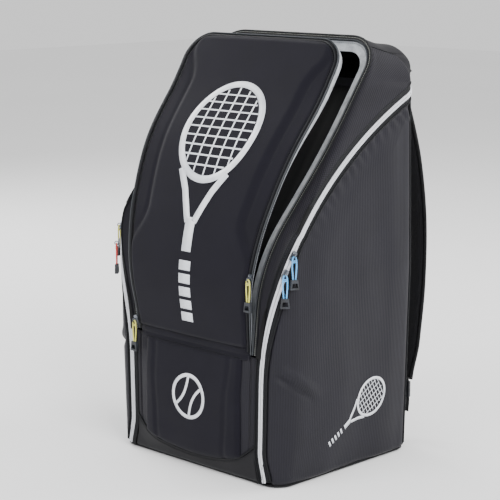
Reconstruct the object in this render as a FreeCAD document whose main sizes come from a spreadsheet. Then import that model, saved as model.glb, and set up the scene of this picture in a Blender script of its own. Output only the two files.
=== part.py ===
"""Racket backpack: a free-standing soft pack with a hinged racket flap.

The front faces -Y, the wearer's back is at +Y and +Z is up. Right is +X, on the right of
the pack seen from its front. The origin is on the floor below the middle of the main
compartment. All lengths are millimetres.
"""
import FreeCAD, Part
import math
import os

import Sketcher

Vector = FreeCAD.Vector
Rotation = FreeCAD.Rotation
Placement = FreeCAD.Placement

# Driving dimensions: name, value, meaning
DIMENSIONS = [
    ("front_depth", 180, "front face ahead of the origin"),
    ("back_depth", 170, "back panel behind the origin"),
    ("front_height", 743, "top edge of the leaning front"),
    ("back_height", 715, "top edge of the back panel"),
    ("base_half", 203, "half width at the floor"),
    ("waist_half", 209, "half width at the widest level"),
    ("waist_height", 340, "level of the widest point"),
    ("top_half", 200, "half width at the top"),
    ("top_corner", 58, "rounding of the top corners"),
    ("front_corner", 38, "rounding of the upright front corners"),
    ("back_corner", 35, "rounding of the upright back corners"),
    ("base_corner", 10, "rounding of the edges at the floor"),
    ("lean_start", 380, "level where the front turns back"),
    ("lean_angle", 36, "lean of the upper front, degrees"),
    ("lean_round", 250, "radius of the bend into the lean"),
    ("wall", 3, "thickness of a fabric wall with its foam"),
    ("hinge_height", 220, "cross seam that the flap turns on"),
    ("flap_angle", 8, "how far the flap stands open, degrees"),
    ("flap_half_low", 138, "racket zip half width at the seam"),
    ("flap_half_knee", 150, "racket zip half width at the knee"),
    ("flap_knee", 350, "level of the knee"),
    ("flap_half_top", 184, "racket zip half width at the shoulder"),
    ("flap_shoulder", 560, "level of the shoulder"),
    ("flap_top", 728, "top of the racket zip"),
    ("flap_corner", 55, "top corners of the racket zip"),
    ("flap_proud", 4, "moulded panels stand this far out"),
    ("racket_tape", 8, "width of each racket zip tape"),
    ("racket_teeth", 3, "half width of the racket zip chain"),
    ("zip_offset", 10, "main zip ahead of the diagonal through the middle"),
    ("zip_start", 172, "level where the main zip starts to curve"),
    ("zip_round", 550, "radius of the main zip"),
    ("main_tape", 13, "width of each main zip tape"),
    ("main_teeth", 4.5, "half width of the main zip chain"),
    ("seam_depth", 150, "cut between the side panels and the back panel"),
    ("door_foot", 5, "level of the door's fold at the front"),
    ("door_head", 618, "level of the door's fold at the back"),
    ("racket_space", 60, "depth of the racket compartment"),
    ("gap", 0.4, "clearance between pieces"),
    ("pad_thick", 13, "thickness of the back pads"),
    ("strap_x", 128, "middle of each shoulder strap"),
    ("strap_width", 64, "width of a shoulder strap"),
    ("strap_thick", 12, "thickness of a shoulder strap"),
    ("webbing_width", 25, "width of the adjuster webbing"),
    ("webbing_thick", 2, "thickness of the adjuster webbing"),
    ("cord_diameter", 2.6, "pull cord"),
    ("pull_length", 38, "drop from a slider ring to its tag"),
    ("tag_width", 16, "width of a pull tag"),
    ("tag_height", 17, "height of a pull tag"),
    ("tag_thick", 6.5, "thickness of a pull tag"),
    ("ring_out", 9.5, "middle of a slider ring, out from the fabric"),
    ("ring_radius", 3.2, "middle radius of a slider ring"),
    ("ring_wire", 0.9, "radius of a slider ring's wire"),
]

doc = FreeCAD.newDocument("racket_backpack")
sheet = doc.addObject("Spreadsheet::Sheet", "sizes")


def fill_sheet():
    for row, (alias, value, meaning) in enumerate(DIMENSIONS, 1):
        sheet.set(f"A{row}", meaning)
        sheet.set(f"B{row}", str(value))
        sheet.setAlias(f"B{row}", alias)
    doc.recompute()


def size(alias):
    return float(sheet.get(alias))


# ---------------------------------------------------------------- geometry helpers

def corner_arc(before, point, after, radius):
    """Tangent points and middle of the arc that rounds one corner."""
    to_before = (before - point).normalize()
    to_after = (after - point).normalize()
    half = to_before.getAngle(to_after) / 2
    reach = radius / math.tan(half)
    middle_way = (to_before + to_after).normalize()
    centre = point + middle_way * (radius / math.sin(half))
    return point + to_before * reach, centre - middle_way * radius, point + to_after * reach


def rounded_wire(points, radii, closed=True):
    """A wire of straight runs joined by tangent arcs; a radius of 0 keeps the corner."""
    count = len(points)
    stops = []
    for index, (point, radius) in enumerate(zip(points, radii)):
        at_end = not closed and index in (0, count - 1)
        if radius and not at_end:
            stops.append(corner_arc(points[index - 1], point, points[(index + 1) % count], radius))
        else:
            stops.append((point, None, point))
    edges = []
    for index, (start, middle, end) in enumerate(stops):
        if middle is not None:
            edges.append(Part.Arc(start, middle, end).toShape())
        if index < count - 1 or closed:
            following = stops[(index + 1) % count][0]
            edges.append(Part.LineSegment(end, following).toShape())
    return Part.Wire(edges)


def limp_radii(points):
    """Arc radii of a limp cord: 0.45 of the shorter run over the tangent of half the turn."""
    radii = [0]
    for before, point, after in zip(points, points[1:], points[2:]):
        run = min((point - before).Length, (after - point).Length)
        turn = (point - before).getAngle(after - point)
        radii.append(0.45 * run / math.tan(turn / 2))
    return radii + [0]


def grown_face(wire, distance):
    face = Part.Face(wire)
    if distance:
        face = face.makeOffset2D(distance, join=2)
    return face


def box(low, high):
    span = Vector(*high) - Vector(*low)
    return Part.makeBox(span.x, span.y, span.z, Vector(*low))


def common(first, *others):
    for other in others:
        first = first.common(other)
    return first


def mirrored(shape):
    return shape.mirror(Vector(0, 0, 0), Vector(1, 0, 0))


def lean_tangent():
    return math.tan(math.radians(size("lean_angle")))


def front_at(level):
    """Y of the front surface at a level."""
    front = -size("front_depth")
    reach = size("lean_round") * math.tan(math.radians(size("lean_angle") / 2))
    bend_low = size("lean_start") - reach
    bend_high = size("lean_start") + reach * math.cos(math.radians(size("lean_angle")))
    if level <= bend_low:
        return front
    if level < bend_high:
        rise = level - bend_low
        return front + size("lean_round") - math.sqrt(size("lean_round") ** 2 - rise ** 2)
    return front + (level - size("lean_start")) * lean_tangent()


# ---------------------------------------------------------------- the pack's envelope

FAR = 400


def side_prism(distance):
    """The pack seen from the side: upright front, bend, lean, top and back."""
    top_y = front_at(size("front_height"))
    points = [
        Vector(-FAR, -size("front_depth"), 0),
        Vector(-FAR, -size("front_depth"), size("lean_start")),
        Vector(-FAR, top_y, size("front_height")),
        Vector(-FAR, size("back_depth"), size("back_height")),
        Vector(-FAR, size("back_depth"), 0),
    ]
    radii = [size("base_corner"), size("lean_round"), 12, 25, size("base_corner")]
    return grown_face(rounded_wire(points, radii), distance).extrude(Vector(2 * FAR, 0, 0))


def front_prism(distance):
    """The pack seen from the front: gently barrelled sides and round top corners."""
    half = [
        Vector(size("base_half"), -FAR, 0),
        Vector(size("waist_half"), -FAR, size("waist_height")),
        Vector(size("top_half"), -FAR, size("front_height")),
    ]
    points = half + [Vector(-point.x, point.y, point.z) for point in reversed(half)]
    barrel_radius = 5000
    radii = [size("base_corner"), barrel_radius, size("top_corner")]
    radii = radii + radii[::-1]
    return grown_face(rounded_wire(points, radii), distance).extrude(Vector(0, 2 * FAR, 0))


def plan_prism(distance):
    """The pack seen from above: a rectangle with round upright corners."""
    wide = size("waist_half")
    points = [
        Vector(-wide, -size("front_depth"), -FAR),
        Vector(wide, -size("front_depth"), -FAR),
        Vector(wide, size("back_depth"), -FAR),
        Vector(-wide, size("back_depth"), -FAR),
    ]
    radii = [size("front_corner")] * 2 + [size("back_corner")] * 2
    return grown_face(rounded_wire(points, radii), distance).extrude(Vector(0, 0, 4 * FAR))


def hull(distance=0):
    return common(side_prism(distance), front_prism(distance), plan_prism(distance))


def skin(outer, inner):
    """A layer of the envelope between two distances from its surface."""
    return hull(outer).cut(hull(inner))


# ---------------------------------------------------------------- zip lines

def flap_prism(distance):
    """Everything inside the racket zip, seen from the front."""
    half = [
        Vector(size("flap_half_low"), -FAR, size("hinge_height")),
        Vector(size("flap_half_knee"), -FAR, size("flap_knee")),
        Vector(size("flap_half_top") - 1, -FAR, size("flap_shoulder")),
        Vector(size("flap_half_top"), -FAR, size("flap_top")),
    ]
    points = half + [Vector(-point.x, point.y, point.z) for point in reversed(half)]
    radii = [0, 1000, 1000, size("flap_corner")]
    radii = radii + radii[::-1]
    top_y = front_at(size("front_height"))
    prism = grown_face(rounded_wire(points, radii), distance).extrude(Vector(0, FAR + top_y, 0))
    return prism.common(box((-FAR, -FAR, size("hinge_height")), (FAR, FAR, 2 * FAR)))


def diagonal(along, level, outward):
    """A point given along the front-right diagonal, its level, and out towards that corner."""
    root = math.sqrt(0.5)
    return Vector((along + outward) * root, (along - outward) * root, level)


def zip_along(level):
    """Where the main zip lies along the diagonal at a level."""
    rise = max(level - size("zip_start"), 0)
    return size("zip_round") - size("zip_offset") - math.sqrt(size("zip_round") ** 2 - rise ** 2)


def half_at(level):
    """Half width of the side surface at a level."""
    waist = size("waist_height")
    if level < waist:
        return size("base_half") + (size("waist_half") - size("base_half")) * level / waist
    taper = (size("waist_half") - size("top_half")) / (size("front_height") - waist)
    return size("waist_half") - taper * (level - waist)


def zip_point(level):
    """The main zip's point on the right side's surface."""
    along = zip_along(level)
    corner = size("front_corner")
    centre_x = size("waist_half") - corner
    centre_y = corner - size("front_depth")
    centre_along = (centre_x + centre_y) * math.sqrt(0.5)
    centre_out = (centre_x - centre_y) * math.sqrt(0.5)
    shift = along - centre_along
    if abs(shift) < corner * math.sqrt(0.5):
        return diagonal(along, level, centre_out + math.sqrt(corner ** 2 - shift ** 2))
    if shift < 0:
        return Vector(along / math.sqrt(0.5) + size("front_depth"), -size("front_depth"), level)
    return Vector(half_at(level), along / math.sqrt(0.5) - half_at(level), level)


def behind_zip(distance):
    """Everything behind the right main zip, looking along the diagonal."""
    start = diagonal(-size("zip_offset"), 4, 10)
    bend = diagonal(-size("zip_offset"), size("zip_start"), 10)
    middle = diagonal(zip_along(480), 480, 10)
    end = diagonal(zip_along(655), 655, 10)
    back = diagonal(zip_along(655) + 60, 655, 10)
    foot = diagonal(zip_along(655) + 60, 4, 10)
    edges = [
        Part.LineSegment(start, bend).toShape(),
        Part.Arc(bend, middle, end).toShape(),
        Part.LineSegment(end, back).toShape(),
        Part.LineSegment(back, foot).toShape(),
        Part.LineSegment(foot, start).toShape(),
    ]
    face = grown_face(Part.Wire(edges), distance)
    return face.extrude(diagonal(0, 0, FAR))


def above_fold(distance):
    """Everything above the line that a side door folds on, seen from the side."""
    front = -size("front_depth") - 40
    back = size("seam_depth")
    slope = (size("door_head") - size("door_foot")) / (size("seam_depth") + size("front_depth"))
    drop = distance * math.hypot(1, slope)
    foot = size("door_foot") - 40 * slope + drop
    head = size("door_head") + drop
    points = [
        Vector(0, front, foot),
        Vector(0, back, head),
        Vector(0, back, 2 * FAR),
        Vector(0, front, 2 * FAR),
    ]
    wire = Part.makePolygon(points + points[:1])
    return Part.Face(wire).extrude(Vector(FAR, 0, 0))


# ---------------------------------------------------------------- document pieces

nodes = {}


def keep_shape(label, shape, placement=None):
    """A sub-part whose shape comes from the envelope."""
    piece = doc.addObject("Part::Feature", label)
    piece.Label = label
    solids = sorted(shape.Solids, key=lambda solid: -solid.Volume)
    solids = [solid for solid in solids if solid.Volume > 0.02 * solids[0].Volume]
    piece.Shape = solids[0] if len(solids) == 1 else Part.makeCompound(solids)
    if placement is not None:
        piece.Placement = placement
    nodes[label] = piece
    return piece


def keep_pair(label, shape, placement=None):
    """A right-hand sub-part and its mirror image on the left."""
    keep_shape(f"{label}_right", shape, placement)
    if placement is None:
        keep_shape(f"{label}_left", mirrored(shape))


def bind(target, field, expression):
    target.setExpression(field, expression)


def pad_body(label, plane_role, points, length, holes=(), rounding=None):
    """A PartDesign body padded from a sketch whose points are sheet expressions."""
    body = doc.addObject("PartDesign::Body", label)
    body.Label = label
    plane = [item for item in body.Origin.OriginFeatures if item.Role == plane_role][0]
    sketch = body.newObject("Sketcher::SketchObject", f"{label}_outline")
    sketch.AttachmentSupport = [(plane, "")]
    sketch.MapMode = "FlatFace"
    for loop in (points, *holes):
        draw_loop(sketch, loop)
    pad = body.newObject("PartDesign::Pad", f"{label}_pad")
    pad.Profile = sketch
    pad.Midplane = True
    bind(pad, "Length", length)
    doc.recompute()
    body.Tip = pad
    if rounding:
        fillet = body.newObject("PartDesign::Fillet", f"{label}_rounding")
        axis = {"XY_Plane": 2, "XZ_Plane": 1, "YZ_Plane": 0}[plane_role]
        names = upright_edges(pad.Shape, axis)
        fillet.Base = (pad, names)
        fillet.Radius = rounding
        doc.recompute()
        body.Tip = fillet
    nodes[label] = body
    return body


def draw_loop(sketch, loop):
    """A closed loop of lines whose corners are held by two bound distances each."""
    first = sketch.GeometryCount
    count = len(loop)
    places = [Vector(sheet_value(across), sheet_value(up), 0) for across, up in loop]
    for index in range(count):
        sketch.addGeometry(Part.LineSegment(places[index], places[(index + 1) % count]), False)
    for index in range(count):
        following = first + (index + 1) % count
        sketch.addConstraint(Sketcher.Constraint("Coincident", first + index, 2, following, 1))
    for index, (across, up) in enumerate(loop):
        for kind, value, text in (("DistanceX", places[index].x, across),
                                  ("DistanceY", places[index].y, up)):
            number = sketch.addConstraint(
                Sketcher.Constraint(kind, -1, 1, first + index, 1, value))
            sketch.setExpression(f"Constraints[{number}]", text)


def sheet_value(expression):
    """The value of a sheet expression at the time a sketch is drawn."""
    return float(sheet.evalExpression(expression))


def upright_edges(shape, axis):
    names = []
    for number, edge in enumerate(shape.Edges, 1):
        run = edge.Vertexes[-1].Point - edge.Vertexes[0].Point
        others = [abs(run[other]) for other in range(3) if other != axis]
        if abs(run[axis]) > 0.5 and max(others) < 1e-6:
            names.append(f"Edge{number}")
    return names


def rectangle(half_across, low, high):
    return [(f"-({half_across})", low), (half_across, low), (half_across, high),
            (f"-({half_across})", high)]


# ---------------------------------------------------------------- shell of the pack

def make_shell():
    gap = size("gap")
    wall = skin(0, -size("wall"))
    floor = size("wall") + gap
    seam = size("seam_depth")
    hinge = size("hinge_height")
    crown = 690
    behind = behind_zip(size("main_tape") + gap)
    ahead = wall.cut(behind).cut(mirrored(behind))
    racket_hole = flap_prism(size("racket_tape") + gap)
    keep_shape("base_panel", hull().common(box((-FAR, -FAR, 0), (FAR, FAR, size("wall")))))
    low_front = box((-FAR, -FAR, floor), (FAR, seam, hinge - gap))
    keep_shape("front_wall", ahead.common(low_front))
    sides = box((0, -FAR, hinge), (FAR, seam, crown - gap))
    keep_pair("front_gusset", ahead.cut(racket_hole).common(sides))
    top = box((-FAR, -FAR, crown), (FAR, seam, 2 * FAR))
    keep_shape("top_panel", ahead.cut(racket_hole).common(top))
    keep_shape("back_panel", wall.common(box((-FAR, seam + gap, floor), (FAR, FAR, 2 * FAR))))
    right = box((0, -FAR, floor), (FAR, seam, 2 * FAR))
    beside = common(wall, behind_zip(-size("main_tape") - gap), right)
    keep_pair("side_panel", beside.cut(above_fold(-gap)))
    keep_pair("door_panel", beside.common(above_fold(gap)))


def make_divider():
    """Padded wall behind the rackets, parallel to the front."""
    near = size("racket_space")
    far = near + size("wall")
    bend = size("lean_start")
    shift = math.tan(math.radians(size("lean_angle") / 2))
    foot = size("wall") + 8
    head = 690
    points = []
    for depth in (near, far):
        knee = bend - depth * shift
        upright = depth - size("front_depth")
        points.append([Vector(-FAR, upright, foot), Vector(-FAR, upright, knee),
                       Vector(-FAR, upright + (head - knee) * lean_tangent(), head)])
    wire = Part.makePolygon(points[0] + points[1][::-1] + points[0][:1])
    slab = Part.Face(wire).extrude(Vector(2 * FAR, 0, 0))
    keep_shape("compartment_divider", slab.common(hull(-size("wall") - size("gap"))))


def make_boards():
    """Stiffener sheets inside the base and the back, and the moulded lower front panel."""
    pad_body("base_board", "XY_Plane",
             [("-(sizes.base_half - 24)", "-(sizes.front_depth - 72)"),
              ("sizes.base_half - 24", "-(sizes.front_depth - 72)"),
              ("sizes.base_half - 24", "sizes.back_depth - 24"),
              ("-(sizes.base_half - 24)", "sizes.back_depth - 24")], "3", rounding=20)
    nodes["base_board"].setExpression("Placement.Base.z", "sizes.wall + 2")
    pad_body("back_frame_sheet", "XZ_Plane",
             rectangle("150", "25", "sizes.back_height - 60"), "2.5", rounding=30)
    nodes["back_frame_sheet"].setExpression("Placement.Base.y", "sizes.back_depth - 8")
    half = "sizes.flap_half_low - 9"
    corner = f"{half} - 45"
    low = "28"
    shoulder = "75"
    outline = [(f"-({corner})", low), (corner, low), (half, shoulder),
               (half, "sizes.hinge_height - 8"), (f"-({half})", "sizes.hinge_height - 8"),
               (f"-({half})", shoulder)]
    pad_body("lower_front_panel", "XZ_Plane", outline, "sizes.flap_proud", rounding=8)
    nodes["lower_front_panel"].setExpression(
        "Placement.Base.y", "-(sizes.front_depth + sizes.flap_proud / 2 + sizes.gap)")


# ---------------------------------------------------------------- zips

def flap_turn():
    """The flap's stand-open turn about the cross seam."""
    pivot = Vector(0, -size("front_depth"), size("hinge_height"))
    turn = Rotation(Vector(1, 0, 0), size("flap_angle"))
    return Placement(pivot - turn.multVec(pivot), turn)


def racket_band(inner, outer, low, high):
    """A strip along the racket zip between two distances from its line."""
    return skin(high, low).common(flap_prism(outer).cut(flap_prism(inner)))


def make_flap():
    gap = size("gap")
    tape = size("racket_tape")
    teeth = size("racket_teeth")
    lift = box((-FAR, -FAR, size("hinge_height") + 3), (FAR, FAR, 2 * FAR))
    turn = flap_turn()
    panel = common(skin(size("flap_proud"), -2), flap_prism(-tape - gap), lift)
    keep_shape("front_flap", panel, turn)
    keep_shape("flap_zip_tape", racket_band(-tape, -gap, -1.5, 0).common(lift), turn)
    keep_shape("flap_zip_teeth", racket_band(-teeth, -gap, gap, 2.2).common(lift), turn)
    keep_shape("flap_binding", racket_band(-tape, -teeth - gap, gap, 1.6).common(lift), turn)
    keep_shape("rim_zip_tape", racket_band(gap, tape, -1.5, 0).common(lift))
    keep_shape("rim_zip_teeth", racket_band(gap, teeth, gap, 2.2).common(lift))
    keep_shape("rim_binding", racket_band(teeth + gap, tape, gap, 1.6).common(lift))


def main_band(inner, outer, low, high):
    band = behind_zip(outer).cut(behind_zip(inner))
    side = box((0, -FAR, 10), (FAR, size("seam_depth"), 2 * FAR))
    return common(skin(high, low), band, side)


def make_main_zips():
    gap = size("gap")
    tape = size("main_tape")
    teeth = size("main_teeth")
    short_of_seam = box((0, -FAR, 0), (FAR, size("seam_depth") - 8, 2 * FAR))
    fold = above_fold(gap).common(short_of_seam)
    keep_pair("main_zip_tape", main_band(gap / 2, tape, -1.5, 0))
    keep_pair("main_zip_teeth", main_band(gap / 2, teeth, gap, 2.2))
    keep_pair("door_zip_tape", main_band(-tape, -gap / 2, -1.5, 0).common(fold))
    keep_pair("door_zip_teeth", main_band(-teeth, -gap / 2, gap, 2.2).common(fold))


# ---------------------------------------------------------------- sliders and pulls

# name, width, length, lowest Y and thickness of a slider's blocks
SLIDER_BLOCKS = [("plate", 10, 17, -7.2, 2.0), ("bridge", 3, 8, -5.3, 0.7)]


def make_slider(label, placement, slant):
    """A slider: two plates held apart by a web, and a ring for the cord.

    In its own frame the zip runs along Z and the outside is towards -Y. The ring turns back
    by the zip's slant, so that it stands upright and the cord hangs straight through it.
    """
    parts = []
    for name, width, length, low_y, thick in SLIDER_BLOCKS:
        block = doc.addObject("Part::Box", f"{label}_{name}")
        block.Length = width
        block.Width = thick
        block.Height = length
        block.Placement.Base = Vector(-width / 2, low_y, -length / 2)
        parts.append(block)
    ring = doc.addObject("Part::Torus", f"{label}_ring")
    bind(ring, "Radius1", "sizes.ring_radius")
    bind(ring, "Radius2", "sizes.ring_wire")
    ring_turn = Rotation(Vector(0, 1, 0), 90 - slant)
    ring.Placement = Placement(Vector(0, -size("ring_out"), 0), ring_turn)
    parts.append(ring)
    slider = doc.addObject("Part::MultiFuse", label)
    slider.Label = label
    slider.Shapes = parts
    slider.Placement = placement
    nodes[label] = slider


PULL_HALF = [(2.2, -1.0), (3.0, -0.78), (3.9, -0.48), (3.7, -0.22), (2.5, -0.018)]


def pull_route():
    """The loop through the ring: up one side, across, and down the other."""
    drop = size("pull_length")
    left = [Vector(-half, 0, level * drop) for half, level in PULL_HALF]
    right = [Vector(half, 0, level * drop) for half, level in reversed(PULL_HALF)]
    return left + right


def make_pull(cord_label, tag_label, placement):
    """A cord loop that hangs from the slider's ring, and the moulded tag on its ends."""
    points = pull_route()
    radii = limp_radii(points)
    path = rounded_wire(points, radii, closed=False)
    start = points[0]
    section = Part.Wire(Part.makeCircle(size("cord_diameter") / 2, start, points[1] - start))
    cord = path.makePipeShell([section], True, True)
    keep_shape(cord_label, cord, placement)
    if cord_label == "main_pull_cord_upper_right":
        print("pull cord radii", [round(radius, 2) for radius in radii[1:-1]])
        print("pull cord length", round(path.Length, 1), "volume", round(cord.Volume, 1),
              "section x length", round(math.pi * (size("cord_diameter") / 2) ** 2 * path.Length, 1))
    tag = pad_body(tag_label, "XZ_Plane",
                   [("-0.5 * sizes.tag_width", "-sizes.pull_length - sizes.tag_height"),
                    ("0.5 * sizes.tag_width", "-sizes.pull_length - sizes.tag_height"),
                    ("0.36 * sizes.tag_width", "-sizes.pull_length"),
                    ("-0.36 * sizes.tag_width", "-sizes.pull_length")],
                   "sizes.tag_thick", rounding=1.5)
    tag.Placement = placement


def outward_turn(normal):
    """The turn about Z that takes the slider's outside to a horizontal normal."""
    return Rotation(Vector(0, 0, 1), math.degrees(math.atan2(normal.x, -normal.y)))


MAIN_LEVELS = {"upper": 396, "lower": 366}


def main_slider_place(level, side):
    """Placement of a main slider, its pull's placement, and the zip's slant there."""
    point = zip_point(level)
    corner = size("front_corner")
    centre = Vector(size("waist_half") - corner, corner - size("front_depth"), level)
    normal = (point - centre).normalize()
    along = zip_point(level + 20) - point
    slant = math.degrees(Vector(0, 0, 1).getAngle(along))
    if side == "left":
        point = Vector(-point.x, point.y, point.z)
        normal = Vector(-normal.x, normal.y, 0)
        slant = -slant
    yaw = outward_turn(normal)
    tilt = Rotation(Vector(0, 1, 0), slant)
    slider = Placement(point, yaw.multiply(tilt))
    hang = Placement(point + normal * size("ring_out"), yaw)
    return slider, hang, slant


RACKET_LEVELS = {"right": 355, "left": 240}


def racket_slider_place(level, side):
    """Placement of a racket slider on the open flap, its pull's, and the zip's slant there."""
    knee = size("flap_knee")
    slope = (size("flap_half_knee") - size("flap_half_low")) / (knee - size("hinge_height"))
    across = size("flap_half_low") + slope * (level - size("hinge_height"))
    mirror = 1 if side == "right" else -1
    lean = math.degrees(math.asin(max(level - 299, 0) / size("lean_round")))
    point = Vector(mirror * across, front_at(level), level)
    slant = mirror * math.degrees(math.atan(slope))
    tilt = Rotation(Vector(0, 1, 0), slant)
    closed = Placement(point, Rotation(Vector(1, 0, 0), -lean).multiply(tilt))
    slider = flap_turn().multiply(closed)
    ring = slider.multVec(Vector(0, -size("ring_out"), 0))
    return slider, Placement(ring, Rotation()), slant


def make_sliders():
    for side in ("right", "left"):
        for height in ("upper", "lower"):
            slider, hang, slant = main_slider_place(MAIN_LEVELS[height], side)
            make_slider(f"main_slider_{height}_{side}", slider, slant)
            make_pull(f"main_pull_cord_{height}_{side}", f"main_pull_tag_{height}_{side}", hang)
            print(f"main_{height}_{side} ring", hang.Base, "slider", slider.Base,
                  "out", hang.Rotation.multVec(Vector(0, -1, 0)))
        slider, hang, slant = racket_slider_place(RACKET_LEVELS[side], side)
        make_slider(f"racket_slider_{side}", slider, slant)
        make_pull(f"racket_pull_cord_{side}", f"racket_pull_tag_{side}", hang)
        print(f"racket_{side} ring", hang.Base, "slider", slider.Base)


# ---------------------------------------------------------------- carrying parts

def ribbon(route, radii, width, thick):
    """A flat band that follows a route in the YZ plane."""
    path = rounded_wire(route, radii, closed=False)
    heading = (route[1] - route[0]).normalize()
    across = Vector(width / 2, 0, 0)
    up = Vector(1, 0, 0).cross(heading) * (thick / 2)
    start = route[0]
    corners = [start + across + up, start - across + up, start - across - up, start + across - up]
    section = Part.makePolygon(corners + corners[:1])
    return path.makePipeShell([section], True, True)


def at_strap(points):
    return [Vector(size("strap_x"), depth, level) for depth, level in points]


def make_straps():
    back = size("back_depth")
    strap_route = at_strap([(back + 22, 640), (back + 38, 590), (back + 64, 510), (back + 82, 400),
                            (back + 82, 280), (back + 70, 180), (back + 62, 104)])
    strap_radii = [0, 180, 260, 420, 420, 420, 0]
    keep_pair("shoulder_strap", ribbon(strap_route, strap_radii, size("strap_width"),
                                       size("strap_thick")))
    webbing_route = at_strap([(back + 58, 68), (back + 54, 56), (back + 44, 44), (back + 34, 36)])
    keep_pair("lower_webbing", ribbon(webbing_route, [0, 12, 12, 0], size("webbing_width"),
                                      size("webbing_thick")))
    tab_route = at_strap([(back + 26, 33), (back + size("gap"), 26)])
    keep_pair("strap_anchor_tab", ribbon(tab_route, [0, 0], 38, 3))
    yoke = box((-size("strap_x") - 30, back + size("gap"), 652),
               (size("strap_x") + 30, back + 6, 682))
    keep_shape("strap_yoke", yoke)


def make_adjusters():
    """Ladder locks: a frame with two slots for the webbing."""
    for side, mirror in (("right", 1), ("left", -1)):
        slots = [rectangle("13.5", "7", "12"), rectangle("13.5", "-12", "-7")]
        body = pad_body(f"ladder_lock_{side}", "XZ_Plane", rectangle("18", "-15", "15"), "5",
                        holes=slots, rounding=1.5)
        body.Placement = Placement(Vector(mirror * size("strap_x"), size("back_depth") + 60, 85),
                                   Rotation())


def make_back():
    """Foam pads: two columns and a lumbar pad, and the webbing handle above them."""
    middle = size("back_depth") + size("gap") + size("pad_thick") / 2
    solids = []
    for low_x, high_x, low_z, high_z in ((24, 138, 190, 600), (-138, -24, 190, 600),
                                         (-138, 138, 60, 178)):
        pad = box((low_x, middle - size("pad_thick") / 2, low_z),
                  (high_x, middle + size("pad_thick") / 2, high_z))
        solids.append(pad.makeFillet(5, pad.Edges))
    keep_shape("back_pads", Part.makeCompound(solids))
    depth = size("back_depth") + 12
    route = [Vector(-46, depth, 706), Vector(-46, depth, 668), Vector(46, depth, 668),
             Vector(46, depth, 706)]
    path = rounded_wire(route, [0, 26, 26, 0], closed=False)
    start = route[0]
    corners = [start + Vector(a, b, 0) for a, b in ((-9, -2.5), (9, -2.5), (9, 2.5), (-9, 2.5))]
    handle = path.makePipeShell([Part.makePolygon(corners + corners[:1])], True, True)
    keep_shape("grab_handle", handle)
    anchors = [box((middle_x - 11, size("back_depth") + size("gap"), 700),
                   (middle_x + 11, depth - 3.5, 714)) for middle_x in (-46, 46)]
    keep_shape("handle_anchors", Part.makeCompound(anchors))


# ---------------------------------------------------------------- build and write

def check_and_export():
    doc.recompute()
    for item in doc.Objects:
        if {"Invalid", "Error"} & set(item.State):
            raise RuntimeError(f"{item.Label} did not compute: {item.State}")
    for label, piece in nodes.items():
        if piece.Shape.isNull() or not piece.Shape.isValid() or not piece.Shape.Solids:
            raise RuntimeError(f"{label} has no valid solid")
    os.makedirs("parts", exist_ok=True)
    for label, piece in nodes.items():
        piece.Shape.exportStep(f"parts/{label}.step")
    print(len(nodes), "nodes")


def print_slides():
    """Straight stretches that the sliders run along."""
    for name, low, high in (("upper", 396, 417), ("lower", 312, 366)):
        run = zip_point(high) - zip_point(low)
        print("main", name, "slide", run.Length, run.normalize())
    for side, start, stop in (("right", 355, 302), ("left", 240, 295)):
        rest, far = (racket_slider_place(level, side)[0].Base for level in (start, stop))
        run = far - rest
        print("racket", side, "slide", run.Length, run.normalize())


fill_sheet()
make_shell()
make_divider()
make_boards()
make_flap()
make_main_zips()
make_sliders()
make_straps()
make_adjusters()
make_back()
check_and_export()
print_slides()
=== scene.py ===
"""Racket backpack: fabric shell, zips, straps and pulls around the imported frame. Metres."""

import math

import bmesh
import bpy
from mathutils import Matrix, Vector, noise


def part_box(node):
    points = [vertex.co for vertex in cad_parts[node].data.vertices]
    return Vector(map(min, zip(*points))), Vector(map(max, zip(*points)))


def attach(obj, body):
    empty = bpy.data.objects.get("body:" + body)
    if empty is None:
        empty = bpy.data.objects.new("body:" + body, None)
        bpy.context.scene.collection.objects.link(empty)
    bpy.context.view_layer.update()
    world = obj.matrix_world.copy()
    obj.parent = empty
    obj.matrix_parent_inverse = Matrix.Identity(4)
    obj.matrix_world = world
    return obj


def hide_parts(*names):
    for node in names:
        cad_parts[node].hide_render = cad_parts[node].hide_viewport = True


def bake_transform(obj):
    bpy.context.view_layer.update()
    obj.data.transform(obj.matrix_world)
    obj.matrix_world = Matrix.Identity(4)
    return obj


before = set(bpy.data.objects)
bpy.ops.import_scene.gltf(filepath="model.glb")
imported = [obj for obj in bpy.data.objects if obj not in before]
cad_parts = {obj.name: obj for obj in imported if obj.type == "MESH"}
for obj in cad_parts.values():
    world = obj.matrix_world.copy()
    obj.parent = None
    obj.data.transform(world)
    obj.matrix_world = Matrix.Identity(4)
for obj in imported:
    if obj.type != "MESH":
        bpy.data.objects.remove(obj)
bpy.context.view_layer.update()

MM = 0.001
SIDES = (("right", 1), ("left", -1))

# ---------------------------------------------------------------- the pack's envelope

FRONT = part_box("base_panel")[0].y
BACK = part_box("back_panel")[1].y
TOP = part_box("rim_zip_tape")[1].z
BACK_TOP = 715 * MM
BASE_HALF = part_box("base_panel")[1].x
WAIST = 209 * MM
WAIST_LEVEL = 340 * MM
TOP_HALF = 200 * MM
FRONT_CORNER = 38 * MM
BACK_CORNER = 35 * MM
TOP_CORNER = 58 * MM
LEAN_START = 380 * MM
LEAN = math.radians(36)
LEAN_ROUND = 250 * MM
SEAM = 150 * MM
HINGE = 220 * MM
HINGE_POINT = Vector((0, FRONT, HINGE))
FLAP_OPEN = math.radians(8)
FLAP_TURN = Matrix.Rotation(FLAP_OPEN, 3, "X")
FLAP_BELLY = 13 * MM
FLAP_SLACK = 22 * MM

BEND_REACH = LEAN_ROUND * math.tan(LEAN / 2)
BEND_LOW = LEAN_START - BEND_REACH
BEND_LENGTH = LEAN_ROUND * LEAN


def clamp(value, low=0.0, high=1.0):
    return max(low, min(high, value))


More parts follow.
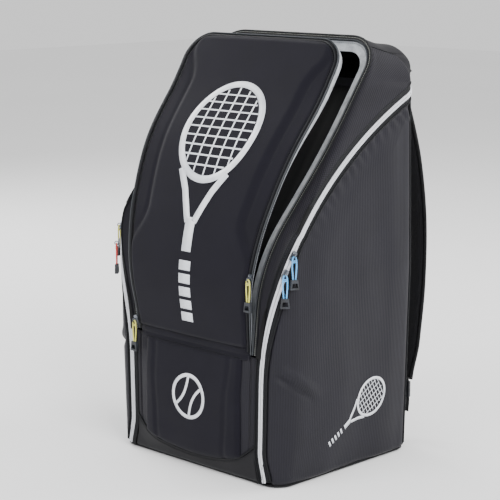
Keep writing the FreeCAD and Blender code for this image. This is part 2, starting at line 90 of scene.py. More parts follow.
def smooth(value, low, high):
    """0 below low, 1 above high, and an even S between."""
    share = clamp((value - low) / (high - low))
    return share * share * (3 - 2 * share)


def hump(value, middle, half_width):
    """A round bump of height 1."""
    share = clamp(abs(value - middle) / half_width)
    return 0.5 + 0.5 * math.cos(math.pi * share)


def front_profile(run):
    """Depth, level and lean of the front surface after a run up from the floor."""
    if run < BEND_LOW:
        return FRONT, run, 0.0
    if run < BEND_LOW + BEND_LENGTH:
        turn = (run - BEND_LOW) / LEAN_ROUND
        depth = FRONT + LEAN_ROUND * (1 - math.cos(turn))
        return depth, BEND_LOW + LEAN_ROUND * math.sin(turn), turn
    rest = run - BEND_LOW - BEND_LENGTH
    depth = FRONT + LEAN_ROUND * (1 - math.cos(LEAN)) + rest * math.sin(LEAN)
    return depth, BEND_LOW + LEAN_ROUND * math.sin(LEAN) + rest * math.cos(LEAN), LEAN


def front_run(level):
    """The run up the front surface that reaches a level."""
    bend_high = BEND_LOW + LEAN_ROUND * math.sin(LEAN)
    if level < BEND_LOW:
        return level
    if level < bend_high:
        return BEND_LOW + LEAN_ROUND * math.asin((level - BEND_LOW) / LEAN_ROUND)
    return BEND_LOW + BEND_LENGTH + (level - bend_high) / math.cos(LEAN)


def front_chart(across, run, out):
    """A point of the front surface, and out from it."""
    depth, level, turn = front_profile(run)
    return Vector((across, depth - out * math.cos(turn), level + out * math.sin(turn)))


def flap_chart(across, run, out):
    """The same on the flap, which stands a little open, bellied in the middle and slack at its top."""
    belly = FLAP_BELLY * hump(run, 540 * MM, 170 * MM)
    point = HINGE_POINT + FLAP_TURN @ (front_chart(across, run, out + belly) - HINGE_POINT)
    point.z -= FLAP_SLACK * smooth(run, 560 * MM, 815 * MM)
    return point


def side_half(level):
    if level < WAIST_LEVEL:
        return BASE_HALF + (WAIST - BASE_HALF) * level / WAIST_LEVEL
    return WAIST - (WAIST - TOP_HALF) * (level - WAIST_LEVEL) / (TOP - WAIST_LEVEL)


FRONT_RUN = WAIST - FRONT_CORNER
CORNER_RUN = FRONT_CORNER * math.pi / 2
SIDE_RUN = (BACK - BACK_CORNER) - (FRONT + FRONT_CORNER)
REAR_ARC = FRONT_RUN + CORNER_RUN + SIDE_RUN
REAR_SEAM = REAR_ARC + BACK_CORNER * math.asin((SEAM - BACK + BACK_CORNER) / BACK_CORNER)


def side_chart(around, level, out):
    """A point of the wall, going round from the middle of the front to the back."""
    shift = side_half(level) - WAIST
    if around < FRONT_RUN:
        return Vector((around * (1 + shift / WAIST), FRONT - out, level))
    if around < FRONT_RUN + CORNER_RUN:
        turn = (around - FRONT_RUN) / FRONT_CORNER
        reach = FRONT_CORNER + out
        return Vector((FRONT_RUN + shift + reach * math.sin(turn),
                       FRONT + FRONT_CORNER - reach * math.cos(turn), level))
    if around < REAR_ARC:
        depth = FRONT + FRONT_CORNER + around - FRONT_RUN - CORNER_RUN
        return Vector((WAIST + shift + out, depth, level))
    turn = min((around - REAR_ARC) / BACK_CORNER, math.pi / 2)
    reach = BACK_CORNER + out
    beyond = max(around - REAR_ARC - BACK_CORNER * math.pi / 2, 0)
    flat = (WAIST - BACK_CORNER + shift) * (1 - beyond / (WAIST - BACK_CORNER))
    return Vector((flat + reach * math.cos(turn),
                   BACK - BACK_CORNER + reach * math.sin(turn), level))


def on_side(sign, chart=side_chart):
    """The chart, mirrored for the left."""
    def place(across, along, out):
        point = chart(across, along, out)
        return Vector((sign * point.x, point.y, point.z))
    return place


# ---------------------------------------------------------------- the zip lines

ZIP_OFFSET = 10 * MM
ZIP_START = 172 * MM
ZIP_ROUND = 550 * MM
ZIP_FOOT = 12 * MM
ZIP_END = 646 * MM
MAIN_TAPE = 13 * MM
MAIN_CHAIN = 4.6 * MM
RACKET_TAPE = 9 * MM


def main_zip_at(level):
    """How far round the wall the main zip lies at a level."""
    rise = max(level - ZIP_START, 0)
    along = ZIP_ROUND - ZIP_OFFSET - math.sqrt(ZIP_ROUND ** 2 - rise ** 2)
    centre = (WAIST - FRONT_CORNER + FRONT + FRONT_CORNER) * math.sqrt(0.5)
    shift = along - centre
    if abs(shift) < FRONT_CORNER * math.sqrt(0.5):
        turn = math.pi / 4 + math.asin(shift / FRONT_CORNER)
        around = FRONT_RUN + FRONT_CORNER * turn
    elif shift < 0:
        around = along / math.sqrt(0.5) - FRONT
    else:
        depth = along / math.sqrt(0.5) - side_half(level)
        around = FRONT_RUN + CORNER_RUN + depth - FRONT - FRONT_CORNER
    return around + ZIP_FOOT * (1 - smooth(level, 0, 60 * MM))


def main_zip_line(low=8 * MM, high=ZIP_END, count=90):
    return [(main_zip_at(low + (high - low) * step / count), low + (high - low) * step / count)
            for step in range(count + 1)]


# half widths of the racket zip's outline: seam, knee, shoulder
OUTLINE = ((220 * MM, 138 * MM), (350 * MM, 150 * MM), (560 * MM, 183 * MM), (728 * MM, 184 * MM))
OUTLINE_CORNER = 55 * MM


def outline_half(level):
    """Half width of the racket zip's outline below its top corners."""
    for (low, low_half), (high, high_half) in zip(OUTLINE, OUTLINE[1:]):
        if level <= high:
            return low_half + (high_half - low_half) * (level - low) / (high - low)
    return OUTLINE[-1][1]


def soft_half(level):
    """The outline with its bends eased over a hand's width."""
    reach = 45 * MM
    return sum(outline_half(level + reach * share) for share in (-1, -0.5, 0, 0.5, 1)) / 5


CORNER_LEVEL = OUTLINE[-1][0] - OUTLINE_CORNER * math.cos(LEAN)


def racket_zip_line(inset=0.0, low=HINGE + 3 * MM):
    """The right half of the racket zip on the front chart, from the seam to the middle."""
    count = 70
    line = []
    for step in range(count):
        level = low + (CORNER_LEVEL - low) * step / count
        line.append((soft_half(level) - inset, front_run(level)))
    side = soft_half(CORNER_LEVEL)
    start = front_run(CORNER_LEVEL)
    turns = 18
    for step in range(turns + 1):
        turn = math.pi / 2 * step / turns
        reach = OUTLINE_CORNER - inset
        line.append((side - OUTLINE_CORNER + reach * math.cos(turn),
                     start + reach * math.sin(turn)))
    top = line[-1]
    for step in range(1, 13):
        line.append((top[0] * (1 - step / 12), top[1]))
    return line


def both_halves(line):
    return line + [(-across, run) for across, run in reversed(line[:-1])]


# ---------------------------------------------------------------- mesh builders

def new_object(name, mesh, body, slot, *materials):
    """A finished piece with its materials and its body; slot is not used."""
    piece = bpy.data.objects.new(name, mesh)
    bpy.context.scene.collection.objects.link(piece)
    for material in materials:
        mesh.materials.append(material)
    if body:
        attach(piece, body)
    return piece


def mesh_from(name, points, faces, uvs=None, flat=False):
    mesh = bpy.data.meshes.new(name)
    mesh.from_pydata(points, [], faces)
    if uvs:
        layer = mesh.uv_layers.new(name="cloth")
        for loop in mesh.loops:
            layer.data[loop.index].uv = uvs[loop.vertex_index]
    mesh.polygons.foreach_set("use_smooth", [not flat] * len(mesh.polygons))
    mesh.update()
    return mesh


def grid(name, rows, columns, place, flip=False, measure=None):
    """A cloth patch: place(across share, up share) gives a point; its UVs are in metres."""
    points = [place(column / columns, row / rows)
              for row in range(rows + 1) for column in range(columns + 1)]
    wide = columns + 1
    faces = []
    for row in range(rows):
        for column in range(columns):
            corner = row * wide + column
            face = (corner, corner + 1, corner + wide + 1, corner + wide)
            faces.append(face[::-1] if flip else face)
    if measure:
        uvs = [measure(column / columns, row / rows)
               for row in range(rows + 1) for column in range(columns + 1)]
    else:
        uvs = cloth_lengths(points, rows, columns)
    return mesh_from(name, points, faces, uvs)


def cloth_lengths(points, rows, columns):
    """UVs of a patch: distance along each row from its middle, and up the middle column."""
    wide = columns + 1
    middle = columns // 2
    height = [0.0]
    for row in range(rows):
        step = points[(row + 1) * wide + middle] - points[row * wide + middle]
        height.append(height[-1] + step.length)
    uvs = []
    for row in range(rows + 1):
        run = [0.0]
        for column in range(columns):
            step = points[row * wide + column + 1] - points[row * wide + column]
            run.append(run[-1] + step.length)
        uvs += [(length - run[middle], height[row]) for length in run]
    return uvs


def walk(line, step):
    """Evenly spaced places along a line of chart points: (across, along, direction, run)."""
    found = []
    run = 0.0
    target = 0.0
    for (x0, y0), (x1, y1) in zip(line, line[1:]):
        length = math.hypot(x1 - x0, y1 - y0)
        if length < 1e-9:
            continue
        heading = ((x1 - x0) / length, (y1 - y0) / length)
        while target <= run + length + 1e-9:
            share = (target - run) / length
            found.append((x0 + (x1 - x0) * share, y0 + (y1 - y0) * share, heading, target))
            target += step
        run += length
    return found


def sweep(name, chart, line, section, step=5 * MM, closed=True, ripple=None, flip=False):
    """A strip that follows a line on a chart.

    section holds (sideways, out) pairs, sideways to the right of the way along. ripple gives
    a change of out from the run along the strip and the place in the section.
    """
    stops = walk(line, step)
    eased = []
    for index, stop in enumerate(stops):
        near = stops[max(index - 2, 0):index + 3]
        heading = Vector((sum(other[2][0] for other in near), sum(other[2][1] for other in near)))
        eased.append(heading.normalized())
    points, uvs = [], []
    spread = [0.0]
    for (side0, out0), (side1, out1) in zip(section, section[1:]):
        spread.append(spread[-1] + math.hypot(side1 - side0, out1 - out0))
    for stop, heading in zip(stops, eased):
        for index, (side, out) in enumerate(section):
            lift = ripple(stop[3], index) if ripple else 0.0
            points.append(chart(stop[0] + heading.y * side, stop[1] - heading.x * side,
                                out + lift))
            uvs.append((spread[index], stop[3]))
    wide = len(section)
    faces = []
    for row in range(len(stops) - 1):
        for column in range(wide if closed else wide - 1):
            here = row * wide + column
            beside = row * wide + (column + 1) % wide
            face = (here, beside, beside + wide, here + wide)
            faces.append(face[::-1] if flip else face)
    if closed:
        faces.append(tuple(range(wide))[::1 if flip else -1])
        last = (len(stops) - 1) * wide
        faces.append(tuple(last + index for index in range(wide))[::-1 if flip else 1])
    mesh = mesh_from(name, points, faces, uvs)
    outward(mesh)
    return mesh


def outward(mesh):
    """Turns a closed mesh's faces outwards."""
    shape = bmesh.new()
    shape.from_mesh(mesh)
    bmesh.ops.recalc_face_normals(shape, faces=shape.faces)
    shape.to_mesh(mesh)
    shape.free()


def thicken(piece, thickness, lining=False):
    """Cloth thickness behind the outside face, with the lining on its inner side."""
    solid = piece.modifiers.new("thickness", "SOLIDIFY")
    solid.thickness = thickness
    solid.offset = -1
    if lining:
        solid.material_offset = 1
        solid.material_offset_rim = 0
    return piece


def flat_band(half, low, high):
    """Section of a flat tape with softened edges."""
    edge = min(0.4 * (high - low), 0.5 * MM)
    return [(-half, low), (half, low), (half, high - edge), (half - edge, high),
            (-half + edge, high), (-half, high - edge)]


def tape_band(start, end, low, high):
    middle = (start + end) / 2
    return [(middle + side, out) for side, out in flat_band(abs(end - start) / 2, low, high)]


def round_band(centre, out, radius, count=8):
    return [(centre + radius * math.cos(2 * math.pi * index / count),
             out + radius * math.sin(2 * math.pi * index / count)) for index in range(count)]


def stitches(name, chart, line, side, out, body, material, slot, pitch=4.2 * MM, thread=0.45 * MM):
    """A seam of separate stitches along a line, each a small pinched loop of thread."""
    points, faces = [], []
    share = 0.68
    for across, along, heading, _ in walk(line, pitch):
        base = len(points)
        for place, lift, thick in ((0, -0.3, 0.45), (0.18, 0.35, 1), (0.82, 0.35, 1), (1, -0.3, 0.45)):
            reach = place * pitch * share
            middle = (across + heading[0] * reach + heading[1] * side,
                      along + heading[1] * reach - heading[0] * side)
            for turn in range(4):
                angle = math.pi / 4 + math.pi / 2 * turn
                wide = thread * thick * math.cos(angle)
                points.append(chart(middle[0] + heading[1] * wide, middle[1] - heading[0] * wide,
                                    out + thread * (lift + thick * math.sin(angle))))
        for ring in range(3):
            for turn in range(4):
                here = base + ring * 4 + turn
                beside = base + ring * 4 + (turn + 1) % 4
                faces.append((here, beside, beside + 4, here + 4))
        faces.append((base + 3, base + 2, base + 1, base))
        faces.append((base + 12, base + 13, base + 14, base + 15))
    mesh = mesh_from(name, points, faces)
    outward(mesh)
    return new_object(name, mesh, body, slot, material)


# ---------------------------------------------------------------- materials

# how much of a cloth's screen colour is left under the studio's light
DYE = 0.2


def tone(code, gain=1.0):
    """A linear colour from a six-figure screen colour."""
    parts = [(code >> shift & 255) / 255 for shift in (16, 8, 0)]
    linear = [part / 12.92 if part < 0.04045 else ((part + 0.055) / 1.055) ** 2.4
              for part in parts]
    return (*[min(value * gain, 1.0) for value in linear], 1.0)


class Recipe:
    """A node material, written as calls that each add one node."""

    def __init__(self, name, roughness, **fixed):
        self.material = bpy.data.materials.new(name)
        self.material.use_nodes = True
        self.tree = self.material.node_tree
        self.shader = self.tree.nodes["Principled BSDF"]
        self.shader.inputs["Roughness"].default_value = roughness
        for socket, value in fixed.items():
            self.shader.inputs[socket.replace("_", " ")].default_value = value

    def node(self, kind, inputs=(), **settings):
        node = self.tree.nodes.new(kind)
        for field, value in settings.items():
            setattr(node, field, value)
        for key, value in dict(inputs).items():
            if isinstance(value, bpy.types.NodeSocket):
                self.tree.links.new(value, node.inputs[key])
            else:
                node.inputs[key].default_value = value
        return node.outputs[0]

    def sum(self, kind, *values):
        return self.node("ShaderNodeMath", enumerate(values), operation=kind)

    def place(self, uv=True):
        """Cloth coordinates in metres: the UVs, or the object's own space."""
        kind = "ShaderNodeUVMap" if uv else "ShaderNodeTexCoord"
        node = self.tree.nodes.new(kind)
        return node.outputs["UV" if uv else "Object"]

    def axes(self, vector):
        node = self.tree.nodes.new("ShaderNodeSeparateXYZ")
        self.tree.links.new(vector, node.inputs[0])
        return node.outputs

    def wave(self, value, pitch, phase=0.0):
        """0 to 1 and back once in each pitch."""
        turn = self.sum("MULTIPLY_ADD", value, 2 * math.pi / pitch, phase)
        return self.sum("MULTIPLY_ADD", self.sum("SINE", turn), 0.5, 0.5)

    def grain(self, vector, size, detail=2.0, rough=0.5):
        return self.node("ShaderNodeTexNoise", {"Vector": vector, "Scale": 1 / size,
                                                "Detail": detail, "Roughness": rough})

    def stretch(self, vector, x, y, z=1.0):
        return self.node("ShaderNodeMapping", {"Vector": vector, "Scale": (x, y, z)})

    def ramp(self, factor, low, high, start=0.0, end=1.0):
        node = self.tree.nodes.new("ShaderNodeValToRGB")
        node.color_ramp.elements[0].position = start
        node.color_ramp.elements[1].position = end
        node.color_ramp.elements[0].color = low
        node.color_ramp.elements[1].color = high
        self.tree.links.new(factor, node.inputs[0])
        return node.outputs[0]

    def mix(self, factor, first, second, kind="MIX"):
        node = self.tree.nodes.new("ShaderNodeMix")
        node.data_type = "RGBA"
        node.blend_type = kind
        for socket, value in ((0, factor), (6, first), (7, second)):
            if isinstance(value, bpy.types.NodeSocket):
                self.tree.links.new(value, node.inputs[socket])
            else:
                node.inputs[socket].default_value = value
        return node.outputs[2]

    def colour(self, value):
        self.tree.links.new(value, self.shader.inputs["Base Color"])

    def roughness(self, value):
        self.tree.links.new(value, self.shader.inputs["Roughness"])

    def bump(self, height, depth, strength=0.6):
        normal = self.node("ShaderNodeBump",
                           {"Height": height, "Distance": depth, "Strength": strength})
        self.tree.links.new(normal, self.shader.inputs["Normal"])


def finish_cloth(recipe, vector, pattern, dark, light, depth, fuzz=0.7 * MM, blotch=60 * MM):
    """Colour and relief of a cloth whose pattern runs from 0 to 1."""
    thread = recipe.grain(vector, fuzz, 3.0, 0.7)
    patches = recipe.grain(vector, blotch, 3.0, 0.6)
    cloth = recipe.ramp(pattern, dark, light)
    flecks = recipe.ramp(thread, (0.72, 0.72, 0.74, 1), (1.3, 1.29, 1.32, 1), 0.3, 0.75)
    worn = recipe.ramp(patches, (0.88, 0.88, 0.88, 1), (1.1, 1.1, 1.1, 1), 0.3, 0.7)
    cloth = recipe.mix(1.0, cloth, flecks, "MULTIPLY")
    recipe.colour(recipe.mix(1.0, cloth, worn, "MULTIPLY"))
    height = recipe.sum("MULTIPLY_ADD", thread, 0.35, pattern)
    recipe.bump(height, depth)
    return recipe.material


def felt():
    recipe = Recipe("felt_cloth", 0.88, Sheen_Weight=0.05, Sheen_Roughness=0.5,
                    Specular_IOR_Level=0.16)
    vector = recipe.place()
    u, v, _ = recipe.axes(vector)
    weave = recipe.sum("MULTIPLY", recipe.wave(u, 1.1 * MM), recipe.wave(v, 1.1 * MM))
    return finish_cloth(recipe, vector, weave, tone(0x2b2939, DYE), tone(0x343143, DYE),
                        0.25 * MM, 1.0 * MM)


def dobby():
    """Small raised lozenges in staggered rows."""
    recipe = Recipe("dobby_cloth", 0.72, Sheen_Weight=0.06, Sheen_Roughness=0.4,
                    Specular_IOR_Level=0.22)
    vector = recipe.place()
    u, v, _ = recipe.axes(vector)
    rise = recipe.sum("ADD", recipe.sum("MULTIPLY", u, 0.85), v)
    fall = recipe.sum("SUBTRACT", recipe.sum("MULTIPLY", u, 0.85), v)
    lozenge = recipe.sum("MULTIPLY", recipe.wave(rise, 4.6 * MM), recipe.wave(fall, 4.6 * MM))
    lozenge = recipe.sum("SMOOTH_MIN", recipe.sum("MULTIPLY", lozenge, 1.8), 1.0, 0.3)
    return finish_cloth(recipe, vector, lozenge, tone(0x1e1c26, DYE), tone(0x565363, DYE), 0.5 * MM)


def ribbed():
    """Fine upright ribs with cross threads between them."""
    recipe = Recipe("ribbed_cloth", 0.6, Sheen_Weight=0.05, Sheen_Roughness=0.35,
                    Specular_IOR_Level=0.26)
    vector = recipe.place()
    u, v, _ = recipe.axes(vector)
    sway = recipe.sum("MULTIPLY", recipe.grain(vector, 90 * MM), 0.5 * MM)
    rib = recipe.sum("POWER", recipe.wave(recipe.sum("ADD", u, sway), 4.2 * MM), 0.8)
    cross = recipe.wave(v, 1.5 * MM)
    pattern = recipe.sum("MULTIPLY_ADD", cross, 0.2, recipe.sum("MULTIPLY", rib, 0.8))
    return finish_cloth(recipe, vector, pattern, tone(0x262432, DYE), tone(0x3a3848, DYE), 0.45 * MM)


def twill(name, dark, light, pitch=1.9 * MM, rough=0.75, gain=DYE):
    recipe = Recipe(name, rough, Sheen_Weight=0.05, Sheen_Roughness=0.4, Specular_IOR_Level=0.25)
    vector = recipe.place()
    u, v, _ = recipe.axes(vector)
    line = recipe.wave(recipe.sum("MULTIPLY_ADD", v, 0.6, u), pitch)
    return finish_cloth(recipe, vector, line, tone(dark, gain), tone(light, gain), 0.3 * MM)


def woven_tape(name, dark, light, pitch, rough=0.55):
    """Herringbone zip tape or webbing: slanting lines that turn at the middle."""
    recipe = Recipe(name, rough, Sheen_Weight=0.03, Sheen_Roughness=0.35, Specular_IOR_Level=0.22)
    vector = recipe.place()
    u, v, _ = recipe.axes(vector)
    fold = recipe.sum("PINGPONG", u, 2.2 * MM)
    line = recipe.wave(recipe.sum("ADD", fold, v), pitch)
    return finish_cloth(recipe, vector, line, tone(dark, DYE), tone(light, DYE), 0.3 * MM,
                        0.5 * MM, 30 * MM)


def satin():
    """Silver-grey satin tape: fine weft lines, with painted sheen in stretched clouds along its length.
    """
    recipe = Recipe("satin_tape", 0.38, Sheen_Weight=0.3, Sheen_Roughness=0.3,
                    Specular_IOR_Level=0.6)
    vector = recipe.place()
    _, v, _ = recipe.axes(vector)
    sheen_clouds = recipe.grain(recipe.stretch(vector, 1.6, 1.0), 22 * MM, 4.0, 0.6)
    weft = recipe.wave(v, 0.9 * MM)
    # painted sheen: the grey runs darker and lighter through the stretched clouds
    base = recipe.ramp(sheen_clouds, tone(0x7b8086), tone(0xb4b8bc), 0.32, 0.68)
    lines = recipe.ramp(weft, (0.86, 0.86, 0.87, 1), (1.05, 1.05, 1.05, 1))
    recipe.colour(recipe.mix(1.0, base, lines, "MULTIPLY"))
    recipe.roughness(recipe.sum("MULTIPLY_ADD", sheen_clouds, 0.2, 0.3))
    recipe.bump(recipe.sum("MULTIPLY_ADD", sheen_clouds, 3.0, weft), 0.25 * MM)
    return recipe.material


def coil(name, dark, light, rough):
    """Nylon zip coil: each turn lighter on its crown, a painted highlight."""
    recipe = Recipe(name, rough, Specular_IOR_Level=0.55)
    vector = recipe.place()
    u, v, _ = recipe.axes(vector)
    turn = recipe.wave(recipe.sum("MULTIPLY_ADD", u, 0.35, v), 2.0 * MM)
    # painted highlight: each turn runs from the dark colour to the light one, lightest on its crown
    base = recipe.ramp(turn, tone(dark), tone(light), 0.1, 0.6)
    scuffs = recipe.ramp(recipe.grain(vector, 5 * MM, 3.0), (0.9, 0.9, 0.9, 1), (1.04, 1.04, 1.04, 1))
    recipe.colour(recipe.mix(1.0, base, scuffs, "MULTIPLY"))
    recipe.bump(turn, 0.3 * MM)
    return recipe.material


def lining():
    recipe = Recipe("lining_cloth", 0.7, Specular_IOR_Level=0.2)
    vector = recipe.place()
    u, v, _ = recipe.axes(vector)
    weave = recipe.sum("MULTIPLY", recipe.wave(u, 1.6 * MM), recipe.wave(v, 1.6 * MM))
    return finish_cloth(recipe, vector, weave, tone(0x0c0c11, DYE), tone(0x15151b, DYE), 0.2 * MM)


def foam_mesh():
    """Air mesh over foam: rows of small round holes, in the object's own space."""
    recipe = Recipe("air_mesh", 0.85, Sheen_Weight=0.06, Sheen_Roughness=0.5, Specular_IOR_Level=0.25)
    vector = recipe.place(uv=False)
    cells = recipe.node("ShaderNodeTexVoronoi", {"Vector": vector, "Scale": 1 / (3.2 * MM),
                                                 "Randomness": 0.15})
    rim = recipe.ramp(cells, (0, 0, 0, 1), (1, 1, 1, 1), 0.25, 0.5)
    return finish_cloth(recipe, vector, rim, tone(0x0d0d12, DYE), tone(0x22222a, DYE), 0.6 * MM)


def moulded(name, dark, light, rough, grain=1.2 * MM):
    """Moulded plastic or rubber: spark-eroded grain, a little brighter in random patches."""
    recipe = Recipe(name, rough, Specular_IOR_Level=0.5)
    vector = recipe.place(uv=False)
    spark = recipe.grain(vector, grain, 4.0, 0.7)
    wear = recipe.grain(vector, 12 * MM, 3.0)
    recipe.colour(recipe.ramp(wear, tone(dark), tone(light), 0.35, 0.7))
    recipe.roughness(recipe.sum("MULTIPLY_ADD", wear, 0.25, rough - 0.1))
    recipe.bump(spark, 0.12 * MM, 0.4)
    return recipe.material


def gunmetal():
    recipe = Recipe("gunmetal", 0.32, Metallic=1.0)
    vector = recipe.place(uv=False)
    brushed = recipe.grain(recipe.stretch(vector, 1.0, 1.0, 0.15), 0.5 * MM, 4.0, 0.7)
    wear = recipe.grain(vector, 4 * MM, 3.0)
    recipe.colour(recipe.ramp(wear, tone(0x44484f), tone(0x92969d), 0.4, 0.75))
    recipe.roughness(recipe.sum("MULTIPLY_ADD", brushed, 0.3, 0.18))
    recipe.bump(brushed, 0.05 * MM, 0.4)
    return recipe.material


def braid(name, dark, light):
    """A braided cord, in the object's own space: strands that cross on a slant."""
    recipe = Recipe(name, 0.6, Sheen_Weight=0.4, Sheen_Roughness=0.4)
    vector = recipe.place(uv=False)
    x, y, z = recipe.axes(vector)
    across = recipe.sum("ADD", x, y)
    rise = recipe.wave(recipe.sum("MULTIPLY_ADD", across, 1.2, z), 2.0 * MM)
    fall = recipe.wave(recipe.sum("MULTIPLY_ADD", across, -1.2, z), 2.0 * MM)
    strand = recipe.sum("MAXIMUM", rise, fall)
    return finish_cloth(recipe, vector, strand, tone(dark), tone(light), 0.4 * MM, 0.4 * MM)


def silver_print():
    """Reflective ink over cloth: the weave shows faintly, and painted reflection makes it brighter and
    duller in broad patches.
    """
    recipe = Recipe("silver_print", 0.42, Metallic=0.15, Specular_IOR_Level=0.55)
    vector = recipe.place()
    u, v, _ = recipe.axes(vector)
    weave = recipe.sum("MULTIPLY", recipe.wave(u, 1.1 * MM), recipe.wave(v, 1.1 * MM))
    patches = recipe.grain(vector, 45 * MM, 3.0)
    # painted reflection: the ink runs lighter and darker in broad patches
    base = recipe.ramp(patches, tone(0xcdd1d8), tone(0xf4f5f8), 0.3, 0.7)
    lines = recipe.ramp(weave, (0.93, 0.93, 0.94, 1), (1, 1, 1, 1))
    recipe.colour(recipe.mix(1.0, base, lines, "MULTIPLY"))
    recipe.bump(weave, 0.08 * MM, 0.5)
    return recipe.material


FELT = felt()
DOBBY = dobby()
RIBBED = ribbed()
BASE_CLOTH = twill("base_cloth", 0x212028, 0x2b2a33, 2.4 * MM, 0.6)
TAPE = woven_tape("zip_tape_cloth", 0x13151e, 0x22252f, 1.3 * MM)
WEBBING = woven_tape("webbing_cloth", 0x0e0f13, 0x22232a, 2.0 * MM, 0.6)
CHAIN = coil("silver_coil", 0x9a9ca2, 0xe6e7ec, 0.35)
RACKET_COIL = coil("black_coil", 0x0c0e12, 0x2a3036, 0.3)
SATIN = satin()
LINING = lining()
MESH = foam_mesh()
SHELL = twill("shell_cloth", 0x292731, 0x373540, 1.6 * MM, 0.7)
SHEET = moulded("stiffener_sheet", 0x202026, 0x303038, 0.55, 4 * MM)
BUCKLE = moulded("acetal", 0x121318, 0x23252b, 0.35)
TAG = moulded("tag_rubber", 0x14161b, 0x2a2e35, 0.5)
METAL = gunmetal()
PRINT = silver_print()
THREAD = twill("thread", 0x0f1014, 0x24252b, 0.6 * MM)
PALE_THREAD = twill("pale_thread", 0x8a8d86, 0xb5b8ae, 0.6 * MM, 0.5, 1.0)
GREY_THREAD = twill("grey_thread", 0x5a5d62, 0x7c8086, 0.6 * MM, 0.5, 1.0)
CORDS = {
    "blue": braid("blue_cord", 0x2a86c8, 0x62b8ee),
    "yellow": braid("yellow_cord", 0xa8a63c, 0xdeda66),
    "red": braid("red_cord", 0xa11d18, 0xd8352a),
}


# ---------------------------------------------------------------- lower front

PANEL_HALF = 117 * MM
PANEL_TOP = 213 * MM
STRIP_SEAM = 137 * MM


def band_level(across):
    """Top of the base band: low under the moulded panel and rising to the zips."""
    beyond = abs(across) - 115 * MM
    rise = 0.42 * (math.sqrt(beyond ** 2 + (12 * MM) ** 2) + beyond)
    return 24 * MM + 12 * MM * clamp(abs(across) / (110 * MM)) ** 2 + rise


def front_bulge(across, level):
    """The loaded pack pushes its lower front outwards."""
    sideways = 1 - smooth(abs(across), 85 * MM, 158 * MM)
    upwards = smooth(level, -10 * MM, 60 * MM) * (1 - 0.75 * smooth(level, 140 * MM, HINGE))
    sag = 1.2 * MM * noise.noise(Vector((across * 14, level * 20, 3.1)))
    return sideways * (10 * MM * upwards + sag)


def front_cloth(name, start, end, low, high, material, slot, nodes=()):
    """A patch of the lower front between two places across, in its own strip of cloth."""
    for side, sign in SIDES if start > 0 else (("", 1),):
        place = on_side(sign)

        def point(across, up):
            around = start + (end(up) - start) * across
            bottom = low(around)
            level = bottom + (high(around) - bottom) * up
            tuck = 1.2 * MM * (1 - smooth(min(up, 1 - up) * (high(around) - bottom), 0, 5 * MM))
            seam = 1.2 * MM * (1 - smooth(min(across, 1 - across) * abs(end(up) - start), 0, 4 * MM))
            point_out = front_bulge(around, level) - tuck - seam
            return place(around, level, point_out)

        mesh = grid(f"{name}{side and '_' + side}", 44, 14, point, flip=sign < 0)
        piece = new_object(mesh.name, mesh, "pack", slot, material, LINING)
        thicken(piece, 2.5 * MM, lining=True)
        for node in nodes:
            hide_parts(node)


def zip_edge(level, inset=MAIN_TAPE):
    return main_zip_at(level) - inset


def make_lower_front():
    strip_top = HINGE - 1 * MM
    front_cloth("ribbed_strip", PANEL_HALF - 10 * MM, lambda up: STRIP_SEAM, band_level,
                lambda around: strip_top, RIBBED, "ribbed_fabric", ["front_wall"])
    front_cloth("twill_strip", STRIP_SEAM, lambda up: zip_edge(150 * MM), band_level,
                lambda around: strip_top, DOBBY, "gusset_weave", ["front_wall"])

    def band(across, up):
        half = zip_edge(20 * MM + 60 * MM * up)
        around = (2 * across - 1) * half
        top = band_level(around)
        level = 1 * MM + (top - 1 * MM) * up
        place = on_side(1 if around >= 0 else -1)
        fold = 1.5 * MM * hump(level, 0.42 * top, 10 * MM) * noise.noise(Vector((around * 9, 7, 0)))
        under = 8 * MM * (1 - smooth(level, 0, 10 * MM))
        out = front_bulge(around, level) + fold - under
        out -= 1.5 * MM * (1 - smooth((1 - up) * top, 0, 5 * MM))
        return place(abs(around), level, out)

    mesh = grid("base_band", 20, 110, band)
    piece = new_object("base_band", mesh, "pack", "base_coating", BASE_CLOTH, LINING)
    thicken(piece, 2.5 * MM, lining=True)
    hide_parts("front_wall")
    for side, sign in SIDES:
        place = on_side(sign)
        curve = [(step * 1.8 * MM, band_level(step * 1.8 * MM)) for step in range(85)]

        def bulged(across, along, out, place=place):
            return place(across, along, out + front_bulge(across, along))

        mesh = sweep(f"band_piping_{side}", bulged, curve, round_band(0, 0.6 * MM, 1.6 * MM), 3 * MM)
        new_object(mesh.name, mesh, "pack", "zip_tape", TAPE)
        stitches(f"band_stitches_{side}", bulged, curve, 5 * MM, 0.2 * MM, "pack", THREAD, "webbing")
        seam = [(STRIP_SEAM, 74 * MM + (HINGE - 76 * MM) * share / 10) for share in range(11)]
        stitches(f"strip_stitches_{side}", bulged, seam, 3 * MM, 0.1 * MM, "pack", THREAD, "webbing")


def panel_relief(across, level):
    """Moulded lower panel: rolled edges and an upright crease each side."""
    edge = min(PANEL_HALF - abs(across), level - band_level(across), PANEL_TOP + 4 * MM - level)
    roll = 4.5 * MM * (1 - smooth(edge, -1 * MM, 9 * MM))
    crease = 1.6 * MM * hump(abs(across), 92 * MM - (PANEL_TOP - level) * 0.06, 9 * MM)
    return 5 * MM - roll - crease


def make_lower_panel():
    def point(across, up):
        x = (2 * across - 1) * PANEL_HALF
        low = band_level(x) + 1 * MM
        level = low + (PANEL_TOP - low) * up
        return front_chart(x, level, front_bulge(x, level) + panel_relief(x, level))

    mesh = grid("lower_panel", 70, 84, point)
    piece = new_object("lower_panel", mesh, "pack", "moulded_felt", FELT, LINING)
    thicken(piece, 4 * MM, lining=True)
    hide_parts("lower_front_panel")


# ---------------------------------------------------------------- flap

STRIP_LOW = 211 * MM
STRIP_HIGH = 236 * MM


